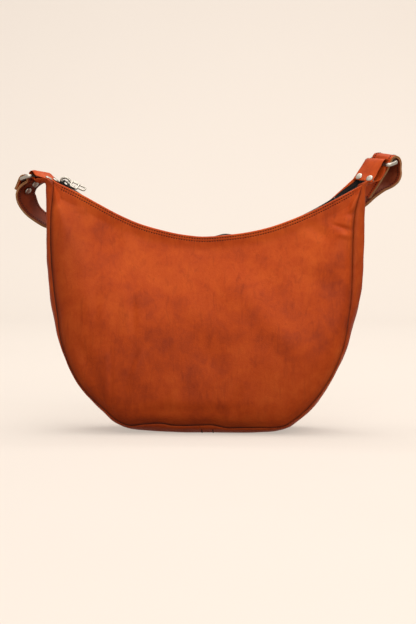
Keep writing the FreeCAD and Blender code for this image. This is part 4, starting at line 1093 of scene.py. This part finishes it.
# Each half of the strap, with two places in metres by its ring; they are not used
for name, keep, start, end in (
    ("left", slice(0, middle_station + 1), (-0.218, 0.03, 0.2835), (-0.218, 0.03, 0.262)),
    ("right", slice(middle_station, None), (0.214, 0.03, 0.3025), (0.214, 0.03, 0.284)),
):
    part = strap_grid[keep] + strap_ups[keep][:, None] * strap_wave[keep][:, :, None]
    ups = strap_ups[keep][:, None]
    outer = grid_piece("strap_" + name + "_outer_layer", part - ups * STRAP_LAYER_MM, flip=True)
    inner = grid_piece("strap_" + name + "_inner_layer", part + ups * STRAP_LAYER_MM)
    outer.data.materials.append(cognac)
    inner.data.materials.append(strap_inner)
    rows = []
    for column in STRAP_SEAM_COLUMNS:
        rows.append(((part - ups * STRAP_LAYER_MM)[:, column], -strap_ups[keep]))
        rows.append(((part + ups * STRAP_LAYER_MM)[:, column], strap_ups[keep]))
    seams = thread_piece("strap_" + name + "_thread", rows)
    seams.data.materials.append(dark_thread)
    for layer in (outer, inner):
        layer.data.materials.append(cut_edge)
        thicken(layer, STRAP_LAYER_MM - LAYER_GAP_MM, 1)
    for piece in (outer, inner, seams):
        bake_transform(piece)
    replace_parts(outer, "strap_end_" + name, "strap")

# Strap rivets: two more of the nickel-plated double-cap rivets, one behind the other. They are set through
# both thicknesses of the strap's left fold and close its loop.

strap_run = lengths(strap_path[:, :3])
rivet_stations = [int(np.argmin(np.abs(strap_run - length))) for length in STRAP_RIVETS_MM]
strap_spots = [strap_path[k, :3] for k in rivet_stations]
cap_mm = 2 * STRAP_LAYER_MM
strap_caps = rivet_piece("strap_rivet_caps", strap_spots, strap_ups[rivet_stations[-1]], cap_mm, cap_mm)
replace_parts(strap_caps, "strap_rivets")

# Studio: a pale cream sweep of paper under and behind the bag, a soft light overhead, a weaker one in front,
# one on the backdrop, and a camera with a long lens a little above the bag's middle.

PAPER_GLOW = 0.5
SWEEP_HALF_MM = 4500.0
SWEEP_CURVE_MM = 900.0
SWEEP_CURVE_Y_MM = 2300.0
SWEEP_TOP_MM = 4200.0
FLOOR_DROP_MM = 0.02
AIR_LIGHT = 0.45
AIR_SEEN = 0.92


def seen_rays(tree):
    """One for the rays that show the background itself: to the camera, in a mirror, and through glass."""
    path = add_node(tree, "ShaderNodeLightPath", {})
    total = path.outputs["Is Camera Ray"]
    for ray in ("Is Glossy Ray", "Is Transmission Ray"):
        either = add_node(tree, "ShaderNodeMath", {0: total, 1: path.outputs[ray]}, operation="MAXIMUM")
        total = either.outputs["Value"]
    return total


def sweep_paper(name, colour, glow_colour):
    """Matt cream background paper, rolled from the floor up the wall, with a faint unevenness. It glows a
    little where it is seen, so that the shadows on it stay as pale as on paper lit from all round."""
    material, tree, shader = new_material(name)
    place = add_node(tree, "ShaderNodeTexCoord", {}).outputs["Object"]
    cloud = add_node(tree, "ShaderNodeTexNoise", {"Vector": place, "Scale": 2.0})
    tint = add_node(tree, "ShaderNodeMix", {
        "Factor": cloud.outputs["Fac"], "A": srgb(colour), "B": srgb("#e3dbd3"),
    }, data_type="RGBA")
    seen = seen_rays(tree)
    bounce = add_node(tree, "ShaderNodeMix", {
        "Factor": seen, "A": srgb("#8a8078"), "B": tint.outputs["Result"],
    }, data_type="RGBA")
    tree.links.new(bounce.outputs["Result"], shader.inputs["Base Color"])
    shader.inputs["Roughness"].default_value = 0.9
    shader.inputs["Specular IOR Level"].default_value = 0.1
    glow = add_node(tree, "ShaderNodeEmission", {"Color": srgb(glow_colour), "Strength": 1.0})
    share = add_node(tree, "ShaderNodeMath", {0: seen, 1: PAPER_GLOW}, operation="MULTIPLY")
    lit = add_node(tree, "ShaderNodeMixShader", {
        0: share.outputs["Value"], 1: shader.outputs["BSDF"], 2: glow.outputs["Emission"],
    })
    tree.links.new(lit.outputs["Shader"], tree.nodes["Material Output"].inputs["Surface"])
    return material


profile = [(-SWEEP_HALF_MM, 0.0), (-1500.0, 0.0), (0.0, 0.0), (1200.0, 0.0)]
for turn in np.linspace(0, 90, 19):
    a = math.radians(turn)
    profile.append((SWEEP_CURVE_Y_MM + SWEEP_CURVE_MM * math.sin(a), SWEEP_CURVE_MM * (1 - math.cos(a))))
profile.append((SWEEP_CURVE_Y_MM + SWEEP_CURVE_MM, SWEEP_TOP_MM))
sweep_x = np.linspace(-SWEEP_HALF_MM, SWEEP_HALF_MM, 15)
sweep = np.array([[(x, y, z - FLOOR_DROP_MM) for x in sweep_x] for y, z in profile])
floor = grid_piece("paper_sweep", sweep, flip=True)
floor.data.materials.append(sweep_paper("cream background paper", "#e7e0d9", "#fbeee1"))


def area_light(name, place, target, size, size_y, watts, colour):
    """A rectangular light turned to a target. Places and sizes are in metres."""
    data = bpy.data.lights.new(name, "AREA")
    data.shape = "RECTANGLE"
    data.size = size
    data.size_y = size_y
    data.energy = watts
    data.color = srgb(colour)[:3]
    lamp = bpy.data.objects.new(name, data)
    lamp.location = place
    lamp.rotation_euler = (Vector(target) - Vector(place)).to_track_quat("-Z", "Y").to_euler()
    bpy.context.scene.collection.objects.link(lamp)


area_light("overhead_softbox", (0.1, 0.1, 2.1), (0, 0, 0), 1.8, 1.4, 28, "#fffaf4")
area_light("front_softbox", (0.5, -1.7, 1.25), (0, 0, 0.15), 1.6, 1.2, 20, "#fffaf4")
area_light("backdrop_light", (0.2, 1.6, 2.8), (0.2, 3.2, 0.9), 3.4, 1.0, 72, "#fffaf4")

world = bpy.data.worlds.new("studio_air")
bpy.context.scene.world = world
world.use_nodes = True
background = world.node_tree.nodes["Background"]
background.inputs["Color"].default_value = srgb("#fff4e8")
strength = add_node(world.node_tree, "ShaderNodeMix", {
    "Factor": seen_rays(world.node_tree), "A": AIR_LIGHT, "B": AIR_SEEN,
}, data_type="FLOAT")
world.node_tree.links.new(strength.outputs["Result"], background.inputs["Strength"])

CAMERA_AZIMUTH_DEG = 3.0
CAMERA_ELEVATION_DEG = 3.0
CAMERA_DISTANCE = 2.2
SENSOR_MM = 24.0
FRAME_HEIGHT = 0.749
AIM = Vector((0.003, 0.0, 0.1423))
camera_data = bpy.data.cameras.new("photo_camera")
camera_data.sensor_fit = "VERTICAL"
camera_data.sensor_height = SENSOR_MM
camera_data.lens = SENSOR_MM * CAMERA_DISTANCE / FRAME_HEIGHT
camera = bpy.data.objects.new("photo_camera", camera_data)
azimuth = math.radians(CAMERA_AZIMUTH_DEG)
elevation = math.radians(CAMERA_ELEVATION_DEG)
way = Vector((
    math.sin(azimuth) * math.cos(elevation), -math.cos(azimuth) * math.cos(elevation), math.sin(elevation),
))
camera.location = AIM + way * CAMERA_DISTANCE
camera.rotation_euler = (-way).to_track_quat("-Z", "Y").to_euler()
bpy.context.scene.collection.objects.link(camera)
bpy.context.scene.camera = camera
bpy.context.scene.view_settings.view_transform = "Standard"
